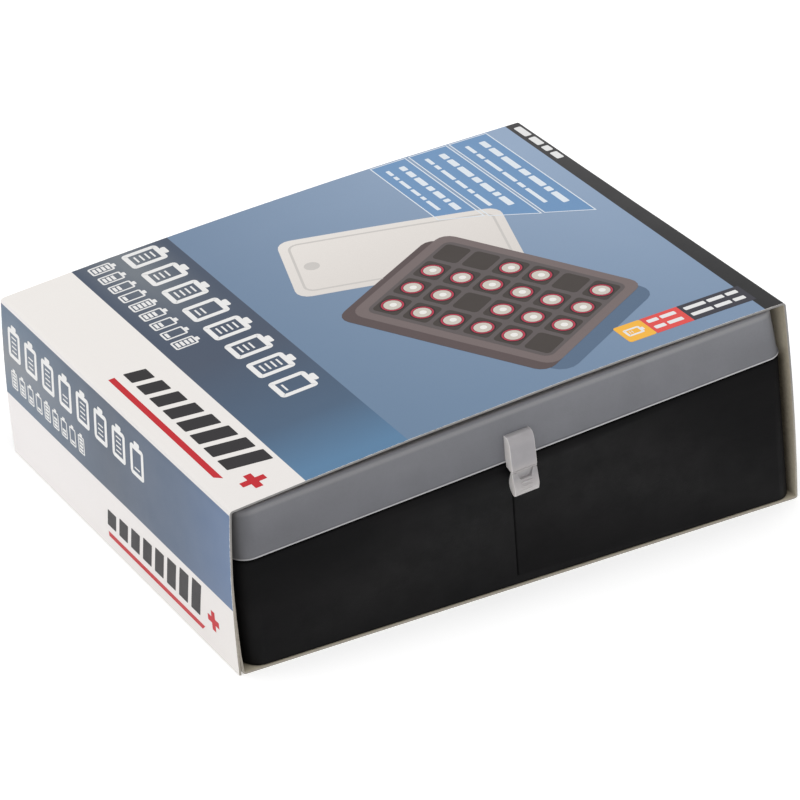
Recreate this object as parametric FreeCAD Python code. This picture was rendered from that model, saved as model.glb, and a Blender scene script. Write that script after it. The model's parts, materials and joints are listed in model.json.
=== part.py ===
"""Battery case: a wedge-shaped storage box that slides like a drawer in a folded card sleeve.

Millimetres, +Z up.  The origin is the centre of the sleeve's bottom panel, on which the case stands.  +X runs
along the open front from the shallow end to the deep end, and +Y from the front to the back.

The box is square to its lid, and the lid is tilted: AAA cells stand at the shallow end, 9 V blocks in the
middle and AA cells at the deep end, and all of them come up to the same height under the lid.  So the box is
drawn in a frame of its own, x along the lid, y to the back and z square to the lid, with z = 0 at the lid's
rim, and is then tilted and set down in the sleeve.
"""
import FreeCAD, Part
import math
import os
from FreeCAD import Vector

# Cells that the case is made for: diameter or (across, along), and length over the terminals.
AA_DIAMETER = 14.5
AA_LENGTH = 50.5
AAA_DIAMETER = 10.5
AAA_LENGTH = 44.5
BLOCK_ACROSS = 17.5
BLOCK_ALONG = 26.5
BLOCK_LENGTH = 48.5
CELL_CLEARANCE = 0.7

# Layout of the trays: columns side by side along X, rows from front to back.
AA_COLUMNS = 4
AA_ROWS = 6
AAA_COLUMNS = 2
AAA_ROWS = 8
BLOCK_ROWS = 4
COLUMN_WEB = 3.72
ROW_WEB = 3.94
SPARE_CELLS = 2
POCKET_CORNER = 1.6
WIDE_POCKET_CORNER = 2.5
POCKET_LEAD_IN = 0.5
TRAY_FLOOR = 0.8
TRAY_CLEARANCE = 0.2
SMALLEST_WEB = 1.6

# Box: moulded base and lid.
LID_TILT = 4.75
BOX_CORNER = 5.0
BASE_WALL = 1.8
BASE_FLOOR = 1.0
BASE_EDGE = 0.5
BASE_DEEP_FLARE = 2.2
LEDGE_DROP = 1.0
LIP_RISE = 1.8
LIP_WALL = 1.0
LIP_CLEARANCE = 0.25
SEAT_WIDTH = 0.9
SEAT_THICKNESS = 1.6
DECK_SINK = 0.2
LID_HEIGHT = 14.8
LID_WALL = 1.1
LID_CROWN = 0.5
LID_EDGE = 1.0
LID_DEEP_DRAFT = 2.4
LID_RIM_PROUD = 0.25
LID_RIM_HEIGHT = 0.55
CELL_HEADROOM = 0.0
SEAT_RIB_WIDTH = 1.6
SEAT_RIB_HEIGHT = 6.0

# Groove down the middle of the base's front.
GROOVE_OFFSET = -3.13
GROOVE_WIDTH = 0.6
GROOVE_DEPTH = 0.6
GROOVE_TOP = 10.5
GROOVE_FOOT = 3.0

# Latch: a block on the lid's front, and a flap that hangs from it and hooks under the base's catch.  What is
# proud is measured out from the box's front, and a drop is measured down from the rim or from the hinge line.
LATCH_OFFSET = -1.13
LATCH_WIDTH = 7.4
LATCH_TOP = 7.9
LATCH_BROW = 1.4
LATCH_BROW_HEIGHT = 2.2
LATCH_SHOULDER = 2.75
LATCH_BULGE = 0.45
LATCH_PROUD = 3.45
LATCH_HINGE_DROP = 1.9
LATCH_HINGE_DEPTH = 0.45
LATCH_WEB_RADIUS = 0.3
LATCH_NECK = 2.2
LATCH_BACK_DROP = 1.5
LATCH_GAP = 0.05
LATCH_BACK_GAP = 0.4
NOTCH_SLACK = 0.1
FLAP_LENGTH = 7.0
FLAP_BELLY = 4.3
FLAP_BELLY_DROP = 5.2
FLAP_BACK = 1.1
FLAP_BACK_DROP = 4.2
FLAP_TIP = 3.7
FLAP_TIP_THICKNESS = 0.6
TOOTH_HEIGHT = 1.2
CATCH_PROUD = 1.5
CATCH_DROP = 1.2
CATCH_HEIGHT = 1.9
CATCH_WIDTH = 5.0
THUMB_DEPTH = 0.5
THUMB_TOP = 5.2
THUMB_FOOT = 3.2
THUMB_HEIGHT = 1.9

# Back hinge: stub axles on the lid's knuckles snap into ears on the base.
HINGE_SPREAD = 96.0
KNUCKLE_LENGTH = 9.0
KNUCKLE_RADIUS = 1.6
AXLE_RADIUS = 0.8
AXLE_CLEARANCE = 0.05
EAR_THICKNESS = 2.5
HINGE_GAP = 0.3
HINGE_DROP = 1.4

# Card sleeve.
CARD = 0.55
END_MARGIN = 0.3
UNDER_GAP = 0.05
SHALLOW_FOOT_GAP = 2.6
SHALLOW_TOP_GAP = 0.35
DEEP_FOOT_GAP = 2.47
DEEP_TOP_GAP = 2.08
ROOF_GAP_SHALLOW = 0.6
ROOF_GAP_DEEP = 0.55
ROOF_BOW = 1.6
SIDE_BOW = 0.7
FOLD_RADIUS = 0.9
GLUE_FLAP_HEIGHT = 33.0

# Sizes that follow from those above.
AA_POCKET = AA_DIAMETER + CELL_CLEARANCE
AAA_POCKET = AAA_DIAMETER + CELL_CLEARANCE
BLOCK_POCKET_X = BLOCK_ACROSS + CELL_CLEARANCE
BLOCK_POCKET_Y = BLOCK_ALONG + CELL_CLEARANCE
SPARE_POCKET_X = SPARE_CELLS * AAA_DIAMETER + CELL_CLEARANCE + TRAY_FLOOR
CELLS_ABOVE_RIM = LID_HEIGHT - LID_WALL - CELL_HEADROOM
LID_LEAN = -LID_DEEP_DRAFT / LID_HEIGHT
LIP_INSET = LID_WALL + LIP_CLEARANCE - LID_LEAN * LIP_RISE
DECK_INSET = LIP_INSET + LIP_WALL + TRAY_CLEARANCE
TRAY_INSET = DECK_INSET + SEAT_WIDTH
DECK_TOP = LIP_RISE - DECK_SINK
TAN_TILT = math.tan(math.radians(LID_TILT))

# How far a cutter runs past the face that it opens.
CUT_PAST = 1.0


def tray_width(columns, pocket):
    """Width of a tray's block: its pockets, the webs between them and half a web at each side."""
    return columns * (pocket + COLUMN_WEB)


UTILITY_WIDTH = tray_width(1, SPARE_POCKET_X)
AAA_WIDTH = tray_width(AAA_COLUMNS, AAA_POCKET)
BLOCK_WIDTH = tray_width(1, BLOCK_POCKET_X)
AA_WIDTH = tray_width(AA_COLUMNS, AA_POCKET)
INNER_WIDTH = UTILITY_WIDTH + AAA_WIDTH + BLOCK_WIDTH + AA_WIDTH + COLUMN_WEB
INNER_DEPTH = max(
    AA_ROWS * AA_POCKET + (AA_ROWS + 1) * ROW_WEB,
    AAA_ROWS * AAA_POCKET + (AAA_ROWS + 1) * SMALLEST_WEB,
    BLOCK_ROWS * BLOCK_POCKET_Y + (BLOCK_ROWS + 1) * SMALLEST_WEB,
)
HALF_WIDTH = INNER_WIDTH / 2 + TRAY_INSET
HALF_DEPTH = INNER_DEPTH / 2 + TRAY_INSET
TRAY_LEFT = -INNER_WIDTH / 2
AAA_LEFT = TRAY_LEFT + COLUMN_WEB / 2 + UTILITY_WIDTH
BLOCK_LEFT = AAA_LEFT + AAA_WIDTH
AA_LEFT = BLOCK_LEFT + BLOCK_WIDTH
TRAY_RIGHT = INNER_WIDTH / 2


def shallow_height():
    """Outer height of the base's shallow end that just clears the underside of every tray."""
    trays = ((AAA_LEFT, AAA_LENGTH), (BLOCK_LEFT, BLOCK_LENGTH), (AA_LEFT, AA_LENGTH))
    below = TRAY_FLOOR + TRAY_CLEARANCE + BASE_FLOOR - CELLS_ABOVE_RIM
    return max(length + below - (left + HALF_WIDTH) * TAN_TILT for left, length in trays)


SHALLOW_HEIGHT = shallow_height()
DEEP_HEIGHT = SHALLOW_HEIGHT + 2 * HALF_WIDTH * TAN_TILT
BASE_LEAN = -BASE_DEEP_FLARE / DEEP_HEIGHT
HINGE_OFFSET = KNUCKLE_RADIUS + HINGE_GAP
SLEEVE_DEPTH = 2 * HALF_DEPTH + HINGE_OFFSET + KNUCKLE_RADIUS + 2 * END_MARGIN
BOX_SETBACK = -SLEEVE_DEPTH / 2 + END_MARGIN + HALF_DEPTH


def tilted(x, z):
    """World offset (x, z) of a point given in the box's own frame, before the box is set down."""
    angle = math.radians(LID_TILT)
    return (x * math.cos(angle) - z * math.sin(angle), x * math.sin(angle) + z * math.cos(angle))


def sleeve_corners():
    """Inner corners of the sleeve's section and the box's place in it, the floor panel centred on x = 0."""
    foot_left = tilted(-HALF_WIDTH, -SHALLOW_HEIGHT)
    foot_right = tilted(HALF_WIDTH, -DEEP_HEIGHT)
    top_left = tilted(-HALF_WIDTH, LID_HEIGHT)
    top_right = tilted(HALF_WIDTH - LID_DEEP_DRAFT, LID_HEIGHT)
    left = foot_left[0] - SHALLOW_FOOT_GAP
    right = foot_right[0] + DEEP_FOOT_GAP
    shift = -(left + right) / 2
    lift = CARD + UNDER_GAP - foot_left[1]
    corners = {
        "foot_left": (left + shift, CARD),
        "top_left": (top_left[0] + shift - SHALLOW_TOP_GAP, top_left[1] + lift + ROOF_GAP_SHALLOW),
        "top_right": (top_right[0] + shift + DEEP_TOP_GAP, top_right[1] + lift + ROOF_GAP_DEEP),
        "foot_right": (right + shift, CARD),
    }
    return corners, shift, lift


CORNERS, BOX_X, BOX_Z = sleeve_corners()


# ---- Helpers -----------------------------------------------------------------------------------------------

def rounded_outline(x0, x1, y0, y1, z, radius):
    """Closed wire of an upright rectangle's outline with round corners, at height z."""
    corners = [(x0, y0), (x1, y0), (x1, y1), (x0, y1)]
    inward = [(1, 1), (-1, 1), (-1, -1), (1, -1)]
    chord = radius * (1 - math.sqrt(0.5))
    edges = []
    ends = []
    for (x, y), (sx, sy) in zip(corners, inward):
        first = Vector(x, y + sy * radius, z)
        second = Vector(x + sx * radius, y, z)
        if sx * sy < 0:
            first, second = second, first
        middle = Vector(x + sx * chord, y + sy * chord, z)
        edges.append(Part.Arc(first, middle, second).toShape())
        ends.append((first, second))
    for (_, leave), (arrive, _) in zip(ends, ends[1:] + ends[:1]):
        edges.append(Part.makeLine(leave, arrive))
    return Part.Wire(Part.__sortEdges__(edges))


def rounded_block(x0, x1, y0, y1, z0, z1, radius):
    """Upright block with round vertical edges."""
    face = Part.Face(rounded_outline(x0, x1, y0, y1, z0, radius))
    return face.extrude(Vector(0, 0, z1 - z0))


def box_block(inset, z0, z1):
    """Block of the box's plan, taken in by inset on every side."""
    radius = max(BOX_CORNER - inset, POCKET_LEAD_IN)
    x = HALF_WIDTH - inset
    y = HALF_DEPTH - inset
    return rounded_block(-x, x, -y, y, z0, z1, radius)


def prism(points, axis, start, length):
    """Straight prism of a polygon: points are (y, z) pairs for axis 'x' and (x, z) pairs for axis 'y'."""
    if axis == "x":
        vertices = [Vector(start, a, b) for a, b in points]
        sweep = Vector(length, 0, 0)
    else:
        vertices = [Vector(a, start, b) for a, b in points]
        sweep = Vector(0, length, 0)
    return Part.Face(Part.makePolygon(vertices + vertices[:1])).extrude(sweep)


def leaning_block(inset, z0, z1, lean):
    """The box's plan, taken in by inset, with a deep end that moves out by lean for each mm above the rim."""
    x = HALF_WIDTH - inset
    y = HALF_DEPTH - inset
    section = [(-x, z0), (x + lean * z0, z0), (x + lean * z1, z1), (-x, z1)]
    block = prism(section, "y", -y, 2 * y)
    corners = [edge for edge in block.Edges if edge.BoundBox.ZLength > (z1 - z0) / 2]
    return block.makeFillet(max(BOX_CORNER - inset, POCKET_LEAD_IN), corners)


def set_down(shape):
    """Tilt a piece drawn in the box's frame and put it in its place in the sleeve."""
    placed = shape.copy()
    placed.rotate(Vector(0, 0, 0), Vector(0, 1, 0), -LID_TILT)
    placed.translate(Vector(BOX_X, BOX_SETBACK, BOX_Z))
    return placed


def save(name, shape):
    """Check that a piece is one valid solid and write it."""
    shape = shape.removeSplitter()
    if len(shape.Solids) != 1 or not shape.isValid():
        raise ValueError(f"{name} is not one valid solid")
    shape.Solids[0].exportStep(f"parts/{name}.step")
    print(f"{name}: {shape.Volume / 1000:.2f} cm3, {len(shape.Faces)} faces")


# ---- Card sleeve -------------------------------------------------------------------------------------------

def section_edges(corners):
    """Edges of the sleeve's section through four corners: a flat floor, and bowed sides and roof."""
    names = ["foot_left", "foot_right", "top_right", "top_left"]
    bows = [0.0, SIDE_BOW, ROOF_BOW, SIDE_BOW]
    edges = []
    for index, bow in enumerate(bows):
        ax, az = corners[names[index]]
        bx, bz = corners[names[(index + 1) % 4]]
        start = Vector(ax, 0, az)
        end = Vector(bx, 0, bz)
        if bow == 0.0:
            edges.append(Part.makeLine(start, end))
            continue
        along = (end - start).normalize()
        outward = Vector(along.z, 0, -along.x)
        middle = (start + end) * 0.5 + outward * bow
        edges.append(Part.Arc(start, middle, end).toShape())
    return edges


def grown_corners(growth):
    """The sleeve's inner corners moved out square to the panels by growth (in, if it is negative)."""
    names = ["foot_left", "foot_right", "top_right", "top_left"]
    grown = {}
    for index, name in enumerate(names):
        before = Vector(*CORNERS[names[index - 1]], 0)
        here = Vector(*CORNERS[name], 0)
        after = Vector(*CORNERS[names[(index + 1) % 4]], 0)
        arriving = (here - before).normalize()
        leaving = (after - here).normalize()
        first = Vector(arriving.y, -arriving.x, 0)
        second = Vector(leaving.y, -leaving.x, 0)
        reach = growth / (1 + first.dot(second))
        grown[name] = (here.x + (first.x + second.x) * reach, here.y + (first.y + second.y) * reach)
    return grown


def sleeve_block(growth, corner_radius):
    """Solid of the sleeve's section grown by growth, as long as the sleeve, with round folds."""
    face = Part.Face(Part.Wire(section_edges(grown_corners(growth))))
    face.translate(Vector(0, -SLEEVE_DEPTH / 2, 0))
    block = face.extrude(Vector(0, SLEEVE_DEPTH, 0))
    folds = [edge for edge in block.Edges if abs(edge.tangentAt(edge.FirstParameter).y) > 0.99]
    return block.makeFillet(corner_radius, folds)


def sector(first, second):
    """Wedge from the middle of the section out past two of its corners, to part one panel from the rest."""
    middle_x = sum(x for x, _ in CORNERS.values()) / 4
    middle_z = sum(z for _, z in CORNERS.values()) / 4
    outside = grown_corners(CARD)
    reach = 1.5
    points = [(middle_x, middle_z)]
    for name in (first, second):
        x, z = outside[name]
        points.append((middle_x + (x - middle_x) * reach, middle_z + (z - middle_z) * reach))
    return prism(points, "y", -SLEEVE_DEPTH, 2 * SLEEVE_DEPTH)


def make_sleeve():
    """The sleeve's four panels, parted at the folds, and the glue flap inside the shallow side."""
    inside = sleeve_block(0, FOLD_RADIUS - CARD)
    ring = sleeve_block(CARD, FOLD_RADIUS).cut(inside)
    panels = {
        "sleeve_bottom_panel": ("foot_left", "foot_right"),
        "sleeve_deep_side_panel": ("foot_right", "top_right"),
        "sleeve_top_panel": ("top_right", "top_left"),
        "sleeve_shallow_side_panel": ("top_left", "foot_left"),
    }
    for name, (first, second) in panels.items():
        save(name, ring.common(sector(first, second)))
    lining = inside.cut(sleeve_block(-CARD, FOLD_RADIUS - CARD))
    x, z = CORNERS["foot_left"]
    reach = 2 * SHALLOW_FOOT_GAP + 2 * CARD
    start = x - reach + CARD + SHALLOW_FOOT_GAP / 2
    window = Part.makeBox(reach, SLEEVE_DEPTH, GLUE_FLAP_HEIGHT, Vector(start, -SLEEVE_DEPTH / 2, z + CARD))
    save("sleeve_glue_flap", lining.common(window))


# ---- Base --------------------------------------------------------------------------------------------------

def below_floor(lift):
    """Everything under the base's slanted floor, raised by lift square to the floor."""
    rise = lift / math.cos(math.radians(LID_TILT))
    reach = 2 * HALF_WIDTH
    points = [
        (-HALF_WIDTH - reach, -SHALLOW_HEIGHT + rise + reach * TAN_TILT),
        (HALF_WIDTH + reach, -DEEP_HEIGHT + rise - reach * TAN_TILT),
        (HALF_WIDTH + reach, -4 * DEEP_HEIGHT),
        (-HALF_WIDTH - reach, -4 * DEEP_HEIGHT),
    ]
    return prism(points, "y", -2 * HALF_DEPTH, 4 * HALF_DEPTH)


def hinge_stations():
    """Middles of the two hinge stations along the back."""
    return (-HINGE_SPREAD / 2, HINGE_SPREAD / 2)


def hinge_rod(radius, start, length):
    """Rod on the hinge's axis from x = start."""
    centre = Vector(start, HALF_DEPTH + HINGE_OFFSET, -HINGE_DROP)
    return Part.makeCylinder(radius, length, centre, Vector(1, 0, 0))


def hinge_ear(start):
    """Ear on the base's back wall: a gusset down the wall under a round eye for the lid's axle."""
    eye = hinge_rod(KNUCKLE_RADIUS, start, EAR_THICKNESS)
    outer = HALF_DEPTH + HINGE_OFFSET + KNUCKLE_RADIUS
    wall = HALF_DEPTH - BASE_WALL / 2
    gusset = prism([
        (wall, -HINGE_DROP + KNUCKLE_RADIUS / 2),
        (HALF_DEPTH + HINGE_OFFSET, -HINGE_DROP + KNUCKLE_RADIUS / 2),
        (outer, -HINGE_DROP),
        (outer, -HINGE_DROP - KNUCKLE_RADIUS),
        (HALF_DEPTH, -HINGE_DROP - 3 * KNUCKLE_RADIUS),
        (wall, -HINGE_DROP - 3 * KNUCKLE_RADIUS),
    ], "x", start, EAR_THICKNESS)
    above_ledge = Part.makeBox(
        EAR_THICKNESS, BASE_WALL, LIP_RISE + LEDGE_DROP,
        Vector(start, HALF_DEPTH - BASE_WALL, -LEDGE_DROP))
    bore = hinge_rod(AXLE_RADIUS + AXLE_CLEARANCE, start, EAR_THICKNESS)
    return eye.fuse(gusset).cut(above_ledge).cut(bore)


def latch_points():
    """Y of the box's front face and of the latch's hinge line, and the hinge line's z."""
    front = -HALF_DEPTH
    return front, front - LATCH_PROUD + LATCH_HINGE_DEPTH, -LATCH_HINGE_DROP


def make_catch():
    """Catch on the base's front: a wedge that the flap's tooth rides over and hooks under."""
    front, _, hinge_z = latch_points()
    top = hinge_z - CATCH_DROP
    foot = top - CATCH_HEIGHT
    return prism([
        (front + BASE_WALL / 2, top),
        (front, top),
        (front - CATCH_PROUD, foot + CATCH_HEIGHT / 3),
        (front - CATCH_PROUD, foot),
        (front + BASE_WALL / 2, foot),
    ], "x", LATCH_OFFSET - CATCH_WIDTH / 2, CATCH_WIDTH)


def make_base():
    """Base shell: slanted floor, walls, a ledge and lip under the lid, catch, groove and hinge ears."""
    ledge = -LEDGE_DROP
    seat_foot = ledge - SEAT_THICKNESS
    body = leaning_block(0, -DEEP_HEIGHT - CUT_PAST, LIP_RISE, BASE_LEAN).cut(below_floor(0))
    floor_edges = [edge for edge in body.Edges if edge.BoundBox.ZMax < -SHALLOW_HEIGHT + BASE_FLOOR]
    body = body.makeFillet(BASE_EDGE, floor_edges)
    rim = box_block(-CUT_PAST, ledge, LIP_RISE + CUT_PAST)
    rim = rim.cut(box_block(LIP_INSET, ledge - CUT_PAST, LIP_RISE + 2 * CUT_PAST))
    hollow = leaning_block(BASE_WALL, -DEEP_HEIGHT, seat_foot, BASE_LEAN).cut(below_floor(BASE_FLOOR))
    seat_hole = box_block(TRAY_INSET - TRAY_CLEARANCE, seat_foot - CUT_PAST, ledge)
    lip_hole = box_block(LIP_INSET + LIP_WALL, ledge, LIP_RISE + CUT_PAST)
    shell = body.cut(rim).cut(hollow).cut(seat_hole).cut(lip_hole)

    middle_height = (SHALLOW_HEIGHT + DEEP_HEIGHT) / 2
    groove = Part.makeBox(
        GROOVE_WIDTH, 2 * GROOVE_DEPTH, middle_height - GROOVE_TOP - GROOVE_FOOT,
        Vector(GROOVE_OFFSET - GROOVE_WIDTH / 2, -HALF_DEPTH - GROOVE_DEPTH, -middle_height + GROOVE_FOOT))
    shell = shell.fuse(make_catch()).cut(groove)
    for middle in hinge_stations():
        reach = KNUCKLE_LENGTH / 2 + HINGE_GAP
        shell = shell.fuse([hinge_ear(middle - reach - EAR_THICKNESS), hinge_ear(middle + reach)])
    save("base_shell", set_down(shell))


# ---- Lid ---------------------------------------------------------------------------------------------------

def crowned_block(inset, z0, height):
    """The box's plan, taken in by inset, up to a roof that rises by the crown over the middle."""
    half = HALF_WIDTH + BOX_CORNER
    sides = Part.makePolygon([Vector(half, 0, height), Vector(half, 0, z0), Vector(-half, 0, z0),
                              Vector(-half, 0, height)])
    roof = Part.Arc(Vector(-half, 0, height), Vector(0, 0, height + LID_CROWN), Vector(half, 0, height))
    profile = Part.Face(Part.Wire(sides.Edges + [roof.toShape()]))
    profile.translate(Vector(0, -2 * HALF_DEPTH, 0))
    plan = leaning_block(inset, z0, height + 2 * LID_CROWN, LID_LEAN)
    return plan.common(profile.extrude(Vector(0, 4 * HALF_DEPTH, 0)))


def seat_ribs():
    """Short ribs inside the lid's walls that rest on the base's lip."""
    depth = LIP_CLEARANCE + LIP_WALL
    x = HALF_WIDTH - LID_WALL
    y = HALF_DEPTH - LID_WALL
    ribs = []
    for place in (-HALF_WIDTH / 2, 0, HALF_WIDTH / 2):
        corner = place - SEAT_RIB_WIDTH / 2
        for start in (-y - LID_WALL / 2, y - depth):
            ribs.append(Part.makeBox(SEAT_RIB_WIDTH, depth + LID_WALL / 2, SEAT_RIB_HEIGHT,
                                     Vector(corner, start, LIP_RISE)))
    for start in (-x - LID_WALL / 2, x - depth):
        ribs.append(Part.makeBox(depth + LID_WALL / 2, SEAT_RIB_WIDTH, SEAT_RIB_HEIGHT,
                                 Vector(start, -SEAT_RIB_WIDTH / 2, LIP_RISE)))
    return ribs


def lid_knuckle(middle):
    """Knuckle behind the lid's rim with a stub axle at each end, on an arm from the lid's back wall."""
    start = middle - KNUCKLE_LENGTH / 2
    barrel = hinge_rod(KNUCKLE_RADIUS, start, KNUCKLE_LENGTH)
    back = HALF_DEPTH + HINGE_OFFSET + KNUCKLE_RADIUS
    arm = prism([
        (HALF_DEPTH - LID_WALL / 2, 0),
        (HALF_DEPTH + HINGE_OFFSET, 0),
        (HALF_DEPTH + HINGE_OFFSET, -HINGE_DROP),
        (back, -HINGE_DROP),
        (HALF_DEPTH, 2 * KNUCKLE_RADIUS),
        (HALF_DEPTH - LID_WALL / 2, 2 * KNUCKLE_RADIUS),
    ], "x", start, KNUCKLE_LENGTH)
    reach = HINGE_GAP + EAR_THICKNESS
    axle = hinge_rod(AXLE_RADIUS, start - reach, KNUCKLE_LENGTH + 2 * reach)
    return barrel.fuse([arm, axle])


def rim_bead():
    """Thin bead round the lid's rim, left out where the latch block stands."""
    bead = box_block(-LID_RIM_PROUD, 0, LID_RIM_HEIGHT)
    start = Vector(LATCH_OFFSET - LATCH_WIDTH / 2, -HALF_DEPTH - CUT_PAST, 0)
    behind_latch = Part.makeBox(LATCH_WIDTH, CUT_PAST, LID_RIM_HEIGHT, start)
    return bead.cut(behind_latch)


def make_lid():
    """Frosted lid: a shallow crowned shell with round corners, a rim bead, seat ribs and hinge knuckles."""
    body = crowned_block(0, 0, LID_HEIGHT)
    top_edges = [edge for edge in body.Edges if edge.BoundBox.ZMin > LID_HEIGHT - LID_CROWN]
    body = body.makeFillet(LID_EDGE, top_edges).fuse(rim_bead())
    hollow = crowned_block(LID_WALL, -CUT_PAST, LID_HEIGHT - LID_WALL)
    ribs = [rib.common(body) for rib in seat_ribs()]
    shell = body.cut(hollow).fuse(ribs)
    shell = shell.fuse([lid_knuckle(middle) for middle in hinge_stations()])
    save("lid", set_down(shell))


# ---- Latch -------------------------------------------------------------------------------------------------

def latch_profile(edges, points):
    """Solid of the latch's width from curved edges and a chain of (y, z) points that close them."""
    start = LATCH_OFFSET - LATCH_WIDTH / 2
    chain = Part.makePolygon([Vector(start, y, z) for y, z in points])
    curves = [Part.Arc(*[Vector(start, y, z) for y, z in curve]).toShape() for curve in edges]
    face = Part.Face(Part.Wire(Part.__sortEdges__(chain.Edges + curves)))
    return face.extrude(Vector(LATCH_WIDTH, 0, 0))


def hinge_web(radius):
    """Rod along the latch's hinge line, as wide as the latch."""
    _, hinge_y, hinge_z = latch_points()
    start = LATCH_OFFSET - LATCH_WIDTH / 2
    return Part.makeCylinder(radius, LATCH_WIDTH, Vector(start, hinge_y, hinge_z), Vector(1, 0, 0))


def make_latch_block():
    """Block on the lid's front with a rounded brow, and the thin web that the flap hangs from."""
    front, hinge_y, hinge_z = latch_points()
    back = front - LATCH_BACK_GAP
    brow = (front - LATCH_BROW, LATCH_TOP)
    shoulder = (front - LATCH_SHOULDER, LATCH_TOP - LATCH_BROW_HEIGHT)
    half_turn = math.sqrt(0.5) * LATCH_BULGE
    middle = ((brow[0] + shoulder[0]) / 2 - half_turn, (brow[1] + shoulder[1]) / 2 + half_turn)
    block = latch_profile([(brow, middle, shoulder)], [
        shoulder,
        (front - LATCH_PROUD, hinge_z + LATCH_HINGE_DEPTH + NOTCH_SLACK),
        (hinge_y, hinge_z + NOTCH_SLACK),
        (front - LATCH_NECK, hinge_z + NOTCH_SLACK),
        (back, -LATCH_BACK_DROP),
        (back, 0),
        (front, 0),
        (front, LATCH_TOP),
        brow,
    ])
    save("latch_block", set_down(block.fuse(hinge_web(LATCH_WEB_RADIUS))))


def thumb_recess():
    """Cutter for the tapered recess at the top of the flap's face."""
    front, _, hinge_z = latch_points()
    face = front - FLAP_BELLY - CUT_PAST
    top = hinge_z - LATCH_HINGE_DEPTH - NOTCH_SLACK
    outline = [
        (-THUMB_TOP / 2, top + CUT_PAST),
        (THUMB_TOP / 2, top + CUT_PAST),
        (THUMB_FOOT / 2, top - THUMB_HEIGHT),
        (-THUMB_FOOT / 2, top - THUMB_HEIGHT),
    ]
    vertices = [Vector(LATCH_OFFSET + x, face, z) for x, z in outline]
    reach = FLAP_BELLY + CUT_PAST - LATCH_PROUD + THUMB_DEPTH
    return Part.Face(Part.makePolygon(vertices + vertices[:1])).extrude(Vector(0, reach, 0))


def make_latch_flap():
    """Flap under the hinge: a bellied skin with cheeks beside the catch and a tooth that hooks under it."""
    front, hinge_y, hinge_z = latch_points()
    top = hinge_z - NOTCH_SLACK
    tip = hinge_z - FLAP_LENGTH
    neck = (front - LATCH_NECK, top)
    tip_back = (front - FLAP_TIP + FLAP_TIP_THICKNESS, tip)
    hollow_back = (front - FLAP_BACK, hinge_z - FLAP_BACK_DROP)
    flap = latch_profile([(neck, hollow_back, tip_back)], [
        neck,
        (hinge_y, top),
        (front - LATCH_PROUD, top - LATCH_HINGE_DEPTH),
        (front - FLAP_BELLY, hinge_z - FLAP_BELLY_DROP),
        (front - FLAP_TIP, tip),
        tip_back,
    ])
    catch_foot = hinge_z - CATCH_DROP - CATCH_HEIGHT
    room = CATCH_WIDTH + 2 * LATCH_BACK_GAP
    start = LATCH_OFFSET - room / 2
    chamber = prism([
        (front + CUT_PAST, top + CUT_PAST),
        (front - LATCH_NECK, top + CUT_PAST),
        (front - LATCH_NECK, catch_foot - LATCH_GAP),
        (front + CUT_PAST, catch_foot - LATCH_GAP),
    ], "x", start, room)
    tooth = prism([
        (front - LATCH_NECK, catch_foot - LATCH_GAP),
        (front - LATCH_BACK_GAP, catch_foot - LATCH_GAP),
        (front - LATCH_BACK_GAP, catch_foot - LATCH_GAP - TOOTH_HEIGHT / 2),
        (front - FLAP_BACK, catch_foot - LATCH_GAP - TOOTH_HEIGHT),
        (front - LATCH_NECK, catch_foot - LATCH_GAP - TOOTH_HEIGHT),
    ], "x", start, room)
    flap = flap.cut(chamber).fuse(tooth).cut(hinge_web(LATCH_WEB_RADIUS + LATCH_GAP)).cut(thumb_recess())
    save("latch_flap", set_down(flap))


# ---- Trays -------------------------------------------------------------------------------------------------

def pocket(x0, x1, y0, y1, foot):
    """Cutter for one cell's pocket: corners cut off straight, from above the deck down to foot."""
    cut = POCKET_CORNER
    outline = [
        (x0 + cut, y0), (x1 - cut, y0), (x1, y0 + cut), (x1, y1 - cut),
        (x1 - cut, y1), (x0 + cut, y1), (x0, y1 - cut), (x0, y0 + cut),
    ]
    vertices = [Vector(x, y, foot) for x, y in outline]
    face = Part.Face(Part.makePolygon(vertices + vertices[:1]))
    return face.extrude(Vector(0, 0, DECK_TOP + CUT_PAST - foot))


def flared_pocket(x0, x1, y0, y1, foot):
    """Cutter for one of the wide pockets: round corners and a lead-in at the deck."""
    radius = WIDE_POCKET_CORNER
    mouth_low = rounded_outline(x0, x1, y0, y1, DECK_TOP - POCKET_LEAD_IN, radius)
    flare = 2 * POCKET_LEAD_IN
    mouth_high = rounded_outline(
        x0 - flare, x1 + flare, y0 - flare, y1 + flare, DECK_TOP + POCKET_LEAD_IN, radius + flare)
    well = rounded_block(x0, x1, y0, y1, foot, DECK_TOP + CUT_PAST, radius)
    return well.fuse(Part.makeLoft([mouth_low, mouth_high], True, True))


def tray_blank(left, right, foot, first, last):
    """Tray before its pockets are cut: a block down to foot under a deck that rests on the base's seat.

    The deck of the first tray reaches the seat at the shallow end, and that of the last one at the deep end.
    """
    flange = TRAY_INSET - DECK_INSET
    y = INNER_DEPTH / 2
    deck_left = left - flange if first else left
    deck_right = right + flange if last else right
    block = Part.makeBox(right - left, 2 * y, DECK_TOP - foot, Vector(left, -y, foot))
    deck = Part.makeBox(
        deck_right - deck_left, 2 * (y + flange), DECK_TOP + LEDGE_DROP,
        Vector(deck_left, -y - flange, -LEDGE_DROP))
    block = block.common(box_block(TRAY_INSET, foot, DECK_TOP))
    return block.fuse(deck.common(box_block(DECK_INSET, -LEDGE_DROP, DECK_TOP)))


def spread(count, size, room):
    """Starts of count pockets of one size, spread over room with equal webs, about zero."""
    web = (room - count * size) / (count + 1)
    return [-room / 2 + web + index * (size + web) for index in range(count)]


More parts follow.
